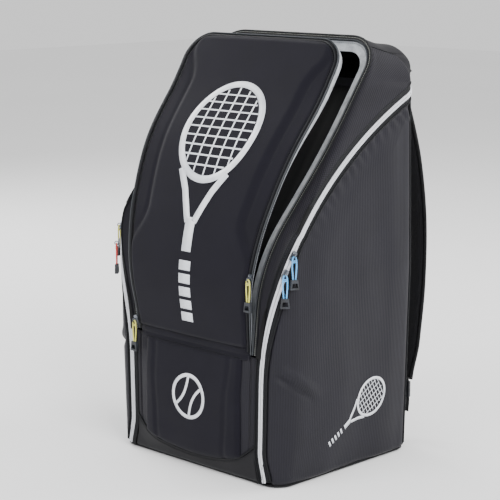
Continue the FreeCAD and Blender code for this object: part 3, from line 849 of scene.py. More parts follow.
def make_hinge_strip():
    """Cloth that the flap turns on: sewn to the lower front and to the flap."""
    def point(across, up):
        half = 134 * MM
        x = (2 * across - 1) * half
        run = STRIP_LOW + (STRIP_HIGH - STRIP_LOW) * up
        out = front_bulge(x, min(run, HINGE)) + 2.2 * MM - 1.3 * MM * hump(run, HINGE, 5 * MM)
        out -= 3 * MM * smooth(abs(x), 118 * MM, 134 * MM)
        chart = flap_chart if run > HINGE else front_chart
        return chart(x, run, out)

    mesh = grid("hinge_strip", 14, 60, point)
    piece = new_object("hinge_strip", mesh, None, "moulded_felt", FELT, LINING)
    solid = thicken(piece, 2 * MM, lining=True)
    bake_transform(solid)

    def bulged(across, run, out):
        return front_chart(across, run, out + front_bulge(across, run))

    low_line = [(-116 * MM + 232 * MM * step / 40, STRIP_LOW + 4 * MM) for step in range(41)]
    stitches("hinge_stitches_low", bulged, low_line, 0, 2.4 * MM, "pack", THREAD, "webbing")
    high_line = [(-130 * MM + 260 * MM * step / 40, STRIP_HIGH - 4 * MM) for step in range(41)]
    stitches("hinge_stitches_high", flap_chart, high_line, 0, 4.6 * MM, "flap", THREAD, "webbing")


def crease_inset(level):
    """How far in from the felt's edge the moulded crease runs; 0 where it has run out."""
    opening = smooth(level, 365 * MM, 440 * MM)
    closing = 1 - smooth(level, 640 * MM, 735 * MM)
    return 46 * MM * opening * closing


def flap_relief(across, level, half, top_gap):
    edge = min(half - abs(across), top_gap)
    roll = 4 * MM * (1 - smooth(edge, -1 * MM, 8 * MM))
    inside = half - crease_inset(level) - abs(across)
    plateau = 5 * MM * smooth(inside, -9 * MM, 6 * MM)
    groove = 1.1 * MM * hump(inside, -9 * MM, 8 * MM) * smooth(crease_inset(level), 10 * MM, 30 * MM)
    crown = 3 * MM * (1 - (across / half) ** 2)
    return plateau - groove - roll + crown + 1 * MM


def make_flap():
    inset = 8 * MM
    rows = racket_zip_line(inset, low=STRIP_HIGH)[:89]
    top_run = rows[-1][1]

    def point(across, up):
        half, run = rows[round(up * (len(rows) - 1))]
        x = (2 * across - 1) * half
        level = front_profile(run)[1]
        return flap_chart(x, run, flap_relief(x, level, half, top_run - run))

    mesh = grid("flap_panel", len(rows) - 1, 110, point)
    piece = new_object("flap_panel", mesh, "flap", "moulded_felt", FELT, LINING)
    thicken(piece, 5 * MM, lining=True)
    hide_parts("front_flap")
    edge = both_halves(racket_zip_line(inset - 1 * MM, low=STRIP_HIGH - 8 * MM))
    mesh = sweep("flap_piping", flap_chart, edge, round_band(0, 0.8 * MM, 2.3 * MM, 10), 3 * MM)
    new_object("flap_piping", mesh, "flap", "zip_tape", TAPE)
    seam = both_halves(racket_zip_line(inset + 4 * MM, low=STRIP_HIGH + 2 * MM))
    stitches("flap_stitches", flap_chart, seam, 0, 2.0 * MM, "flap", THREAD, "webbing")


def coil_ripple(pitch, height):
    def ripple(run, index):
        return height * (0.5 + 0.5 * math.cos(2 * math.pi * run / pitch)) if index else 0.0
    return ripple


def dome_section(start, end, low, high):
    """Half-round section of one row of zip coils."""
    middle, half = (start + end) / 2, (end - start) / 2
    section = [(start, low), (end, low)]
    for turn in (20, 60, 90, 120, 160):
        angle = math.radians(turn)
        section.append((middle + half * math.cos(angle), low + (high - low) * math.sin(angle)))
    return section


def make_racket_zips():
    """Tapes and black coils of the racket zip, and the grey guards behind them."""
    line = both_halves(racket_zip_line())
    for body, chart, sign, node in (("flap", flap_chart, -1, "flap"), ("pack", front_chart, 1, "rim")):
        near, far = sorted((sign * 0.3 * MM, sign * RACKET_TAPE))
        mesh = sweep(f"{node}_tape", chart, line, tape_band(near, far, -1.4 * MM, 0.1 * MM), 4 * MM)
        tape = new_object(mesh.name, mesh, body, "zip_tape", TAPE)
        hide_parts(f"{node}_zip_tape")
        near, far = sorted((sign * 0.3 * MM, sign * 3.0 * MM))
        mesh = sweep(f"{node}_coil", chart, line, dome_section(near, far, 0.1 * MM, 1.5 * MM),
                     0.5 * MM, ripple=coil_ripple(2.0 * MM, 0.5 * MM))
        teeth = new_object(mesh.name, mesh, body, "racket_chain", RACKET_COIL)
        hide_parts(f"{node}_zip_teeth")
    guard = [(-0.5 * MM, -2.2 * MM), (-1.6 * MM, -2.2 * MM), (-4.6 * MM, -12.5 * MM),
             (-5.2 * MM, -14.5 * MM), (-4.2 * MM, -14.5 * MM), (-3.4 * MM, -12.5 * MM)]

    def narrowing(across, run, out):
        depth = 0.3 + 0.7 * smooth(run, 480 * MM, 760 * MM)
        return flap_chart(across, run, (out + 2.2 * MM) * depth - 2.2 * MM)

    mesh = sweep("flap_guard", narrowing, line, guard, 4 * MM)
    piece = new_object("flap_guard", mesh, "flap", "binding", SATIN)
    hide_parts("flap_binding")
    wide = [(8 * MM, -2.2 * MM), (8 * MM, -3.2 * MM), (0, -4.8 * MM), (-16 * MM, -8.4 * MM),
            (-17 * MM, -8.0 * MM), (-17 * MM, -7.2 * MM), (-16 * MM, -7.0 * MM), (0, -3.4 * MM)]
    mesh = sweep("rim_guard", front_chart, line, wide, 4 * MM)
    piece = new_object("rim_guard", mesh, "pack", "binding", SATIN)
    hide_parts("rim_binding")
    stitches("flap_guard_stitches", flap_chart, both_halves(racket_zip_line(2.2 * MM)), 0,
             -4.6 * MM, "flap", GREY_THREAD, "binding")
    stitches("rim_guard_stitches", front_chart, both_halves(racket_zip_line(2.5 * MM)), 0,
             -3.4 * MM, "pack", GREY_THREAD, "binding")
    outer = both_halves(racket_zip_line(-RACKET_TAPE - 0.5 * MM))
    mesh = sweep("rim_piping", front_chart, outer, round_band(0, 0.4 * MM, 1.9 * MM, 10), 3 * MM)
    new_object("rim_piping", mesh, "pack", "zip_tape", TAPE)
    stitches("rim_piping_stitches", front_chart, both_halves(racket_zip_line(-RACKET_TAPE + 2.2 * MM)),
             0, 0.4 * MM, "pack", PALE_THREAD, "binding", pitch=3.4 * MM)


# ---------------------------------------------------------------- top and gussets

CROWN_HALF = TOP_HALF - TOP_CORNER
CROWN_ARC = TOP_CORNER * math.pi / 4
CROWN_BACK = 150 * MM
RIDGE_DROP = (TOP - BACK_TOP) / (BACK - front_profile(front_run(TOP))[0])
BACK_ROUND = 25 * MM
CROWN_FOOT = 688 * MM


def ridge(share):
    """Depth and level of the top's middle line, from the racket zip to the back wall."""
    start = front_profile(front_run(TOP))[0]
    flat = BACK - BACK_ROUND - start
    arc = BACK_ROUND * math.pi / 2
    top_level = TOP - RIDGE_DROP * flat
    drop = top_level - BACK_ROUND - CROWN_FOOT
    run = share * (flat + arc + drop)
    if run < flat:
        return start + run, TOP - RIDGE_DROP * run
    if run < flat + arc:
        turn = (run - flat) / BACK_ROUND
        return (BACK - BACK_ROUND + BACK_ROUND * math.sin(turn),
                top_level - BACK_ROUND + BACK_ROUND * math.cos(turn))
    return BACK, top_level - BACK_ROUND - (run - flat - arc)


def crown(across, share):
    """A point over the top: across from -1 to 1, and share from front to back."""
    depth, level = ridge(share)
    reach = abs(across) * (CROWN_HALF + CROWN_ARC)
    if reach < CROWN_HALF:
        return Vector((math.copysign(reach, across), depth, level))
    turn = (reach - CROWN_HALF) / TOP_CORNER
    return Vector((math.copysign(CROWN_HALF + TOP_CORNER * math.sin(turn), across), depth,
                   level - TOP_CORNER * (1 - math.cos(turn))))


RIM_EDGE = racket_zip_line(-RACKET_TAPE - 0.5 * MM, low=HINGE - 2 * MM)
RIM_CORNER = 79
RIM_TOP = RIM_EDGE[RIM_CORNER:]


def rim_top(across):
    """The rim's outer edge over the top, from corner to corner."""
    place = (1 - abs(across)) * (len(RIM_TOP) - 1)
    index = min(int(place), len(RIM_TOP) - 2)
    share = place - index
    x = RIM_TOP[index][0] * (1 - share) + RIM_TOP[index + 1][0] * share
    run = RIM_TOP[index][1] * (1 - share) + RIM_TOP[index + 1][1] * share
    return front_chart(math.copysign(x, across), run, 0)


def top_point(across, share):
    point = crown(across, share)
    point += (rim_top(across) - crown(across, 0)) * (1 - share) ** 2
    sag = 5 * MM * hump(share, 0.3, 0.3) * (1 - 0.5 * across ** 2)
    ripple = 2.0 * MM * noise.noise(Vector((point.x * 12, point.y * 22, 1.7))) * hump(share, 0.4, 0.4)
    return point + Vector((0, 0, ripple - sag * 0.4))


SEAM_END = 0.42


def make_top():
    mesh = grid("top_cloth", 44, 90, lambda across, up: top_point(2 * across - 1, up))
    piece = new_object("top_cloth", mesh, "pack", "shell_fabric", SHELL, LINING)
    thicken(piece, 3 * MM, lining=True)
    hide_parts("top_panel")


def zip_offset(level, side):
    """A point of the side chart beside the main zip: side is positive behind it."""
    here = main_zip_at(level)
    slope = (main_zip_at(level + 2 * MM) - main_zip_at(level - 2 * MM)) / (4 * MM)
    length = math.hypot(1, slope)
    return here + side / length, level - side * slope / length


GUSSET_BEND = 0.86


def gusset_back(share):
    """The gusset's rear edge: up the main zip, then round the top corner to the seam."""
    if share < GUSSET_BEND:
        level = HINGE - 2 * MM + (ZIP_END - HINGE) * share / GUSSET_BEND
        around, level = zip_offset(level, -MAIN_TAPE)
        return side_chart(around, level, 0.3 * MM)
    around, level = zip_offset(ZIP_END - 2 * MM, -MAIN_TAPE)
    start = side_chart(around, level, 0.3 * MM)
    over = (share - GUSSET_BEND) / (1 - GUSSET_BEND)
    end = top_point(1, SEAM_END)
    middle = Vector((TOP_HALF + 1 * MM, CROWN_BACK, (start.z + end.z) / 2 + 3 * MM))
    return start * (1 - over) ** 2 + middle * 2 * over * (1 - over) + end * over ** 2


def folded(start, corner, end, share, radius):
    """A point along start, corner, end with the corner rounded off."""
    first, second = (start - corner).length, (end - corner).length
    reach = min(radius, 0.92 * first, 0.92 * second)
    before = corner + (start - corner) * (reach / max(first, 1e-6))
    after = corner + (end - corner) * (reach / max(second, 1e-6))
    runs = (first - reach, 1.6 * reach, second - reach)
    run = share * sum(runs)
    if run < runs[0]:
        return start.lerp(before, run / max(runs[0], 1e-9))
    if run < runs[0] + runs[1]:
        turn = (run - runs[0]) / runs[1]
        return before * (1 - turn) ** 2 + corner * 2 * turn * (1 - turn) + after * turn ** 2
    return after.lerp(end, (run - runs[0] - runs[1]) / max(runs[2], 1e-9))


def gusset_raw(across, up):
    place = up * RIM_CORNER
    index = min(int(place), RIM_CORNER - 1)
    share = place - index
    x = RIM_EDGE[index][0] * (1 - share) + RIM_EDGE[index + 1][0] * share
    run = RIM_EDGE[index][1] * (1 - share) + RIM_EDGE[index + 1][1] * share
    start = front_chart(x, run, 0)
    end = gusset_back(up)
    level = front_profile(run)[1] * 0.85 + end.z * 0.15
    depth = front_profile(front_run(min(level, TOP)))[0]
    around = zip_offset(min(HINGE + (ZIP_END - HINGE) * up / GUSSET_BEND, ZIP_END), -MAIN_TAPE)[0]
    turn = clamp((around - FRONT_RUN) / FRONT_CORNER, 0, math.pi / 2)
    reach = FRONT_RUN + FRONT_CORNER * math.tan(turn / 2)
    corner = Vector((reach + side_half(level) - WAIST, depth, level))
    corner = start.lerp(corner, 1 - 0.75 * smooth(up, 0.85, 1.0))
    point = folded(start, corner, end, across, 38 * MM)
    swell = 3.5 * MM * math.sin(math.pi * across) ** 0.8 * smooth(up, 0.05, 0.4)
    wave = 1.3 * MM * noise.noise(Vector((across * 2.2, up * 7, 5.5))) * math.sin(math.pi * across)
    return point + Vector((0.8, -0.45, 0.2)) * (swell + wave)


def gusset_point(across, up):
    seam = top_point(1, SEAM_END * across)
    return gusset_raw(across, up) + (seam - gusset_raw(across, 1.0)) * up ** 5


def make_gussets():
    for side, sign in SIDES:
        def point(across, up, sign=sign):
            place = gusset_point(across, up)
            return Vector((sign * place.x, place.y, place.z))

        mesh = grid(f"gusset_{side}", 120, 40, point, flip=sign < 0)
        piece = new_object(mesh.name, mesh, "pack", "gusset_weave", DOBBY, LINING)
        thicken(piece, 3 * MM, lining=True)
        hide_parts(f"front_gusset_{side}")
        seam = [point(step / 24, 1.0) + Vector((0, 0, 0.4 * MM)) for step in range(25)]
        line = wire(f"gusset_welt_{side}", seam, 1.1 * MM, TAPE)
        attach(line, "pack")


def wire(name, points, radius, material, order=3):
    """A round line through control points."""
    curve = bpy.data.curves.new(name, "CURVE")
    curve.dimensions = "3D"
    curve.bevel_depth = radius
    curve.bevel_resolution = 3
    curve.use_fill_caps = True
    spline = curve.splines.new("NURBS")
    spline.points.add(len(points) - 1)
    for place, point in zip(spline.points, points):
        place.co = (*point, 1)
    spline.order_u = order
    spline.use_endpoint_u = True
    spline.resolution_u = 8
    curve.materials.append(material)
    piece = bpy.data.objects.new(name, curve)
    bpy.context.scene.collection.objects.link(piece)
    return piece


# ---------------------------------------------------------------- sides


def side_top_level():
    level = ZIP_END
    while zip_offset(level, MAIN_TAPE)[0] > REAR_SEAM - 1 * MM:
        level -= 1 * MM
    return level


SIDE_TOP = side_top_level()


def side_relief(around, level, from_zip, from_back):
    """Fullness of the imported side, the slack fold low in front and gathers under the zip."""
    edge = min(from_zip, from_back)
    belly = 5 * MM * smooth(edge, -4 * MM, 60 * MM) * smooth(level, 0, 90 * MM)
    waves = noise.noise(Vector((around * 7, level * 4.5, 0.4))) * 4.6 * MM
    waves += noise.noise(Vector((around * 19, level * 9, 2.2))) * 1.6 * MM
    start = Vector((FRONT_RUN + 22 * MM, 200 * MM))
    end = Vector((FRONT_RUN + 112 * MM, 142 * MM))
    way = (end - start).normalized()
    here = Vector((around, level)) - start
    along = here.dot(way)
    off = here.x * -way.y + here.y * way.x
    reach = smooth(along, -10 * MM, 14 * MM) * (1 - smooth(along, 55 * MM, 110 * MM))
    fold = reach * (3.2 * MM * hump(off, 9 * MM, 14 * MM) - 4.6 * MM * hump(off, -5 * MM, 10 * MM))
    gather = smooth(level, 380 * MM, 500 * MM) * (1 - smooth(from_zip, 2 * MM, 34 * MM))
    gather *= 1.5 * MM * math.sin(2 * math.pi * (around * 0.7 + level * 0.4) / (17 * MM)
                                  + 2.2 * noise.noise(Vector((around * 30, level * 30, 0))))
    seam = 2.2 * MM * (1 - smooth(edge, 0, 5 * MM))
    under = 8 * MM * (1 - smooth(level, 0, 11 * MM))
    return belly + waves * smooth(edge, 0, 40 * MM) + fold + gather - seam - under


def make_sides():
    for side, sign in SIDES:
        place = on_side(sign)

        def chart_place(across, up):
            near, low = zip_offset(4 * MM + (SIDE_TOP - 4 * MM) * up, MAIN_TAPE)
            far = (REAR_SEAM, max(1 * MM, low - 22 * MM * smooth(up, 0.3, 1)))
            low = max(low, 1 * MM)
            return near + (far[0] - near) * across, low + (far[1] - low) * across, near

        def point(across, up, place=place):
            around, level, near = chart_place(across, up)
            from_zip = (around - near) * 0.8
            from_back = REAR_SEAM - around
            return place(around, level, side_relief(around, level, from_zip, from_back))

        mesh = grid(f"side_cloth_{side}", 190, 100, point, flip=sign < 0,
                    measure=lambda across, up: chart_place(across, up)[:2])
        piece = new_object(mesh.name, mesh, None, "ribbed_fabric", RIBBED, LINING)
        thicken(piece, 3 * MM, lining=True)
        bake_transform(piece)
        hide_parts(f"side_panel_{side}", f"door_panel_{side}")


def make_main_zips():
    """Silver coils on blue-black tapes: the front half on the pack, the rear on the door."""
    line = main_zip_line()
    for side, sign in SIDES:
        place = on_side(sign)
        for body, half, prefix in (("pack", -1, "main"), (f"door_{side}", 1, "door")):
            near, far = sorted((half * 0.3 * MM, half * (MAIN_TAPE + 0.5 * MM)))
            mesh = sweep(f"{prefix}_tape_{side}", place, line,
                         tape_band(near, far, -1.6 * MM, 0.0), 5 * MM)
            tape = new_object(mesh.name, mesh, body, "zip_tape", TAPE)
            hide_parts(f"{prefix}_zip_tape_{side}")
            near, far = sorted((half * 0.15 * MM, half * MAIN_CHAIN))
            mesh = sweep(f"{prefix}_coil_{side}", place, line,
                         dome_section(near, far, 0.0, 2.0 * MM), 0.5 * MM,
                         ripple=coil_ripple(2.0 * MM, 0.45 * MM))
            teeth = new_object(mesh.name, mesh, body, "zip_chain", CHAIN)
            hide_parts(f"{prefix}_zip_teeth_{side}")
            mesh = sweep(f"{prefix}_welt_{side}", place, line,
                         round_band(half * (MAIN_TAPE + 0.2 * MM), 0.2 * MM, 1.3 * MM), 4 * MM)
            new_object(mesh.name, mesh, body, "zip_tape", TAPE)
            stitches(f"{prefix}_tape_stitches_{side}", place, line, half * (MAIN_TAPE - 2.5 * MM),
                     0.1 * MM, body, THREAD, "webbing")


# ---------------------------------------------------------------- back, base and inside

def back_edge(across):
    """Top edge of the back wall, under the top cloth."""
    turn = abs(across)
    if turn < 0.86:
        return top_point(math.copysign(turn / 0.86, across), 1.0)
    return top_point(math.copysign(1.0, across), 1 - (1 - SEAM_END) * (turn - 0.86) / 0.14)


def back_point(across, up):
    """across from -1 to 1 between the rear side seams; up to the top cloth."""
    switch = 0.9
    place = on_side(1 if across >= 0 else -1)
    end = REAR_ARC + BACK_CORNER * math.pi / 2 + WAIST - BACK_CORNER
    around = end - (end - REAR_SEAM) * abs(across)
    level = 1 * MM + (640 * MM) * min(up / switch, 1)
    soft = 2.5 * MM * hump(level, 330 * MM, 330 * MM) * (1 - across ** 2)
    under = 8 * MM * (1 - smooth(level, 0, 11 * MM))
    low = place(around, level, soft * 0.3 - under)
    if abs(low.x) > side_half(level):
        low.x = math.copysign(side_half(level), low.x)
    if up <= switch:
        return low
    over = (up - switch) / (1 - switch)
    return low.lerp(back_edge(across), over) + Vector((0, 1.5 * MM * math.sin(math.pi * over), 0))


def make_back():
    mesh = grid("back_cloth", 90, 120, lambda across, up: back_point(1 - 2 * across, up))
    piece = new_object("back_cloth", mesh, "pack", "shell_fabric", SHELL, LINING)
    thicken(piece, 3 * MM, lining=True)
    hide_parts("back_panel")
    for side, sign in SIDES:
        seam = [back_point(sign, step / 60) for step in range(1, 61)]
        line = wire(f"rear_piping_{side}", seam, 1.8 * MM, TAPE)
        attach(line, "pack")


def plan_edge(turn, inset):
    """The floor outline at an angle share of the way round, drawn in by inset."""
    corners = ((1, -1, FRONT_CORNER), (1, 1, BACK_CORNER),
               (-1, 1, BACK_CORNER), (-1, -1, FRONT_CORNER))
    quarter = int(turn * 4) % 4
    x_sign, y_sign, radius = corners[quarter]
    centre = Vector((x_sign * (BASE_HALF - radius), (FRONT if y_sign < 0 else BACK) - y_sign * radius))
    start = quarter * math.pi / 2 - math.pi / 2
    angle = start + (turn * 4 - quarter) * math.pi / 2
    return centre + (radius - inset) * Vector((math.cos(angle), math.sin(angle)))


def make_base():
    """Coated base cloth: flat on the floor and turned up all round."""
    count = 96
    points, uvs = [], []
    insets = ((40 * MM, 0.0), (10 * MM, 0.0), (6.5 * MM, 0.8 * MM), (3.5 * MM, 2.8 * MM))
    faces = []
    for ring, (inset, lift) in enumerate(insets):
        for step in range(count):
            edge = plan_edge(step / count, min(inset, 30 * MM))
            if ring == 0:
                edge = edge * 0.7
            points.append(Vector((edge.x, edge.y, lift)))
            uvs.append((edge.x, edge.y))
    for ring in range(len(insets) - 1):
        for step in range(count):
            here, beside = ring * count + step, ring * count + (step + 1) % count
            faces.append((here, here + count, beside + count, beside)[::-1])
    faces.append(tuple(range(count))[::-1])
    mesh = mesh_from("base_cloth", points, faces, uvs)
    piece = new_object("base_cloth", mesh, "pack", "base_coating", BASE_CLOTH, LINING)
    solid = piece.modifiers.new("thickness", "SOLIDIFY")
    solid.thickness = 2.5 * MM
    solid.offset = -1
    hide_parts("base_panel")


def make_divider():
    """Padded lining wall behind the rackets."""
    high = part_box("compartment_divider")[1]
    depth = 60 * MM

    def point(across, up):
        run = front_run(12 * MM) + (front_run(684 * MM) - 12 * MM) * up
        _, level, _ = front_profile(run)
        half = min(side_half(level) - 5 * MM, 190 * MM)
        x = (2 * across - 1) * half
        quilt = 2.0 * MM * abs(math.sin(math.pi * x / (90 * MM))) ** 0.5
        place = front_chart(x, run, -depth - 1.5 * MM + quilt)
        place.z = min(place.z, high.z)
        return place

    mesh = grid("divider_quilt", 60, 72, point)
    piece = new_object("divider_quilt", mesh, "pack", "lining", LINING, LINING)
    thicken(piece, 4 * MM)
    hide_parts("compartment_divider")
    for node in ("base_board", "back_frame_sheet"):
        paint(node, SHEET)


def paint(node, material):
    """Gives a CAD node a finished material."""
    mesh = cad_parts[node].data
    mesh.materials.clear()
    mesh.materials.append(material)


# ---------------------------------------------------------------- silver prints

def ring_band(chart, name, centre, radii, width, turn, out, body, slot="binding"):
    """A printed oval band: radii across and along, turned by an angle."""
    count = 72
    points, faces, uvs = [], [], []
    for step in range(count):
        angle = 2 * math.pi * step / count
        for grow in (0, -width):
            x = (radii[0] + grow) * math.cos(angle)
            y = (radii[1] + grow) * math.sin(angle)
            place = (centre[0] + x * math.cos(turn) - y * math.sin(turn),
                     centre[1] + x * math.sin(turn) + y * math.cos(turn))
            points.append(chart(*place, out))
            uvs.append(place)
    for step in range(count):
        here, beside = 2 * step, 2 * ((step + 1) % count)
        faces.append((here, beside, beside + 1, here + 1))
    mesh = mesh_from(name, points, faces, uvs)
    return print_piece(name, mesh, body, slot)


def print_piece(name, mesh, body, slot="binding"):
    piece = new_object(name, mesh, body, slot, PRINT)
    solid = piece.modifiers.new("ink", "SOLIDIFY")
    solid.thickness = 0.3 * MM
    solid.offset = 0
    return piece


def print_bar(chart, name, line, width, out, body):
    mesh = sweep(name, chart, line, [(-width / 2, out), (width / 2, out)], 4 * MM, closed=False)
    return print_piece(name, mesh, body)


def racket_print(chart, name, foot, length, turn, out, body):
    """A plain racket: hoop, throat, shaft, strings and a banded grip, standing on foot."""
    head = 0.47 * length
    wide = 0.20 * length

    def at(across, up):
        return (foot[0] + across * math.cos(turn) - up * math.sin(turn),
                foot[1] + across * math.sin(turn) + up * math.cos(turn))

    band = 0.030 * length
    middle = length - head / 2
    ring_band(chart, f"{name}_hoop", at(0, middle), (wide, head / 2), band, turn, out, body)
    reach = wide - band
    tall = head / 2 - band
    cords = []
    for step in (-2, -1, 0, 1, 2):
        x = step * reach / 3
        half = tall * math.sqrt(1 - (x / reach) ** 2)
        cords.append([at(x, middle - half), at(x, middle + half)])
    for step in (-4, -3, -2, -1, 0, 1, 2, 3, 4):
        y = step * tall / 5
        half = reach * math.sqrt(1 - (y / tall) ** 2)
        cords.append([at(-half, middle + y), at(half, middle + y)])
    for number, cord in enumerate(cords):
        print_bar(chart, f"{name}_string_{number}", cord, 0.007 * length, out, body)
    throat = length - head
    for side, sign in SIDES:
        line = [at(sign * wide * 0.62, throat + 0.050 * length),
                at(sign * wide * 0.36, throat - 0.03 * length),
                at(sign * 0.017 * length, throat - 0.15 * length)]
        print_bar(chart, f"{name}_throat_{side}", line, band, out, body)
    print_bar(chart, f"{name}_shaft", [at(0, 0.27 * length), at(0, throat - 0.13 * length)],
              0.050 * length, out, body)
    for wrap in range(5):
        low = 0.25 * length * wrap / 5
        line = [at(0, low), at(0, low + 0.043 * length)]
        print_bar(chart, f"{name}_grip_{wrap}", line, 0.062 * length, out, body)


def ball_print(chart, name, centre, radius, turn, out, body):
    """A ball: a ring and two seam curves."""
    ring_band(chart, f"{name}_ring", centre, (radius, radius), 0.16 * radius, 0, out, body)
    for side, sign in SIDES:
        line = []
        for step in range(13):
            y = radius * 0.86 * (step / 6 - 1)
            x = sign * radius * (0.28 + 0.30 * (y / radius) ** 2)
            line.append((centre[0] + x * math.cos(turn) - y * math.sin(turn),
                         centre[1] + x * math.sin(turn) + y * math.cos(turn)))
        print_bar(chart, f"{name}_seam_{side}", line, 0.13 * radius, out, body)


def make_prints():
    def on_flap(across, run, out):
        level = front_profile(run)[1]
        half = soft_half(min(level, CORNER_LEVEL)) - 8 * MM
        return flap_chart(across, run, out + flap_relief(across, level, half, 1.0))

    racket_print(on_flap, "flap_mark", (0, front_run(262 * MM)), 440 * MM, 0.0, 0.4 * MM, "flap")

    def on_panel(across, run, out):
        return front_chart(across, run, out + front_bulge(across, run) + panel_relief(across, run))

    ball_print(on_panel, "panel_mark", (0, 128 * MM), 40 * MM, -0.5, 0.4 * MM, "pack")

    place = on_side(1)

    def on_wall(around, level, out):
        near = zip_offset(level, MAIN_TAPE)[0]
        lift = side_relief(around, level, (around - near) * 0.8, REAR_SEAM - around)
        return place(around, level, lift + out)

    mark = FRONT_RUN + CORNER_RUN + SIDE_RUN * 0.52
    racket_print(on_wall, "side_mark", (mark - 66 * MM, 58 * MM), 165 * MM, -1.05, 0.5 * MM, "pack")


# ---------------------------------------------------------------- carrying parts

STRAP_X = (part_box("shoulder_strap_right")[0].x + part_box("shoulder_strap_right")[1].x) / 2
STRAP_ROUTE = [(192, 640), (208, 590), (234, 510), (252, 400), (252, 280), (240, 180), (232, 104)]


def route_line(points, step=4 * MM):
    """Smooth places along a route in the YZ plane: (y, z, tangent)."""
    path = [Vector(point) * MM for point in points]
    padded = [path[0] * 2 - path[1]] + path + [path[-1] * 2 - path[-2]]
    found = []
    for index in range(1, len(padded) - 2):
        before, start, end, after = padded[index - 1:index + 3]
        count = max(2, round((end - start).length / step))
        for part in range(count):
            share = part / count
            found.append(0.5 * (2 * start + (end - before) * share
                                + (2 * before - 5 * start + 4 * end - after) * share ** 2
                                + (3 * start - before - 3 * end + after) * share ** 3))
    found.append(path[-1])
    ends = [found[0]] + found + [found[-1]]
    return [(place, (ends[index + 2] - ends[index]).normalized())
            for index, place in enumerate(found)]


def band_along(name, route, section, x_middle, widths=None):
    """A closed band that follows a YZ route; section holds (across, out) shares."""
    points, uvs, faces = [], [], []
    wide = len(section)
    for index, (place, way) in enumerate(route):
        share = index / (len(route) - 1)
        spread = widths(share) if widths else 1.0
        normal = Vector((-way.y, way.x)) * -1
        for across, out in section:
            points.append(Vector((x_middle + across * spread, place.x + normal.x * out,
                                  place.y + normal.y * out)))
            uvs.append((across, index * 4 * MM))
    for row in range(len(route) - 1):
        for column in range(wide):
            here, beside = row * wide + column, row * wide + (column + 1) % wide
            faces.append((here, beside, beside + wide, here + wide))
    faces.append(tuple(range(wide)))
    last = (len(route) - 1) * wide
    faces.append(tuple(last + index for index in range(wide))[::-1])
    mesh = mesh_from(name, points, faces, uvs)
    outward(mesh)
    return mesh


def pad_section(half, thick, count=9):
    """Section of a padded strap: a crowned middle and flat bound edges."""
    upper = []
    for step in range(count):
        share = -1 + 2 * step / (count - 1)
        upper.append((half * share, 0.5 * thick * (0.42 + 0.58 * (1 - abs(share) ** 3.2))))
    lower = [(across, -out) for across, out in reversed(upper)]
    return upper + lower


def make_straps():
    route = route_line(STRAP_ROUTE)
    half = (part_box("shoulder_strap_right")[1].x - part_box("shoulder_strap_right")[0].x) / 2
    for side, sign in SIDES:
        body = f"strap_{side}"
        x = sign * STRAP_X

        def widths(share):
            return 1 - 0.34 * smooth(share, 0.86, 1.0) - 0.12 * (1 - smooth(share, 0, 0.12))

        mesh = band_along(f"strap_pad_{side}", route, pad_section(half - 3 * MM, 10.5 * MM), x, widths)
        pad = new_object(mesh.name, mesh, None, "foam_mesh", MESH)
        swell(pad, 1.0, 1.5 * MM)
        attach(pad, body)
        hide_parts(f"shoulder_strap_{side}")
        for edge in (-1, 1):
            rim = [Vector((x + edge * (half - 3.6 * MM) * widths(index / (len(route) - 1)),
                           place.x, place.y)) for index, (place, _) in enumerate(route)][::4]
            binding = wire(f"strap_binding_{side}_{'outer' if edge * sign > 0 else 'inner'}", rim,
                           3.4 * MM, WEBBING)
            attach(binding, body)
        spine = band_along(f"strap_webbing_{side}", route[6:-3],
                           [(-12.5 * MM, -5.6 * MM), (12.5 * MM, -5.6 * MM), (12.5 * MM, -7.4 * MM),
                            (-12.5 * MM, -7.4 * MM)], x)
        new_object(spine.name, spine, body, "webbing", WEBBING)
        make_adjuster(side, x, body)


def flat_section(half, thick):
    """A flat strap's section: half its width, and half its thickness."""
    return [(-half, -thick), (half, -thick), (half, thick), (-half, thick)]


def make_adjuster(side, x, body):
    """Ladder lock with its webbing looped through, and the tail hanging free."""
    low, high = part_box(f"ladder_lock_{side}")
    paint(f"ladder_lock_{side}", BUCKLE)
    band = flat_section(12.5 * MM, 0.9 * MM)
    depth = (low.y + high.y) / 2 / MM
    middle = (low.z + high.z) / 2 / MM
    upper = route_line([(depth + 1, 122), (depth - 1, middle + 17), (depth - 4, middle + 9.5),
                        (depth, middle + 8.6), (depth + 4, middle + 10), (depth + 3.6, middle + 16),
                        (depth + 3, 118)])
    mesh = band_along(f"lock_loop_{side}", upper, band, x)
    new_object(mesh.name, mesh, body, "webbing", WEBBING)
    lower = route_line([(204, 36), (213, 43), (224, 54), (228, 66), (depth - 3.4, middle - 7),
                        (depth - 4.4, middle - 1), (depth + 3.8, middle + 1), (depth + 4.4, middle - 8),
                        (depth + 6, middle - 22), (depth + 4, middle - 44)])
    mesh = band_along(f"lower_strap_{side}", lower, band, x)
    piece = new_object(mesh.name, mesh, body, "webbing", WEBBING)
    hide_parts(f"lower_webbing_{side}")
    tab = route_line([(204, 35.5), (196, 33), (186, 30), (170.5, 25)])
    mesh = band_along(f"anchor_tab_{side}", tab,
                      flat_section(19 * MM, 1.5 * MM), x, lambda share: 0.68 + 0.32 * share)
    piece = new_object(mesh.name, mesh, "pack", "webbing", WEBBING)
    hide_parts(f"strap_anchor_tab_{side}")


def swell(piece, pressure, cap):
    """Fills a pad: remesh, inflate it with cloth pressure, and keep each point near its start."""
    remesh = piece.modifiers.new("remesh", "REMESH")
    remesh.mode = "VOXEL"
    remesh.voxel_size = 4.5 * MM
    bake(piece)
    inflate(piece, pressure, cap)
    piece.data.polygons.foreach_set("use_smooth", [True] * len(piece.data.polygons))
    finer = piece.modifiers.new("finer", "SUBSURF")
    finer.levels = 1
    finer.render_levels = 1


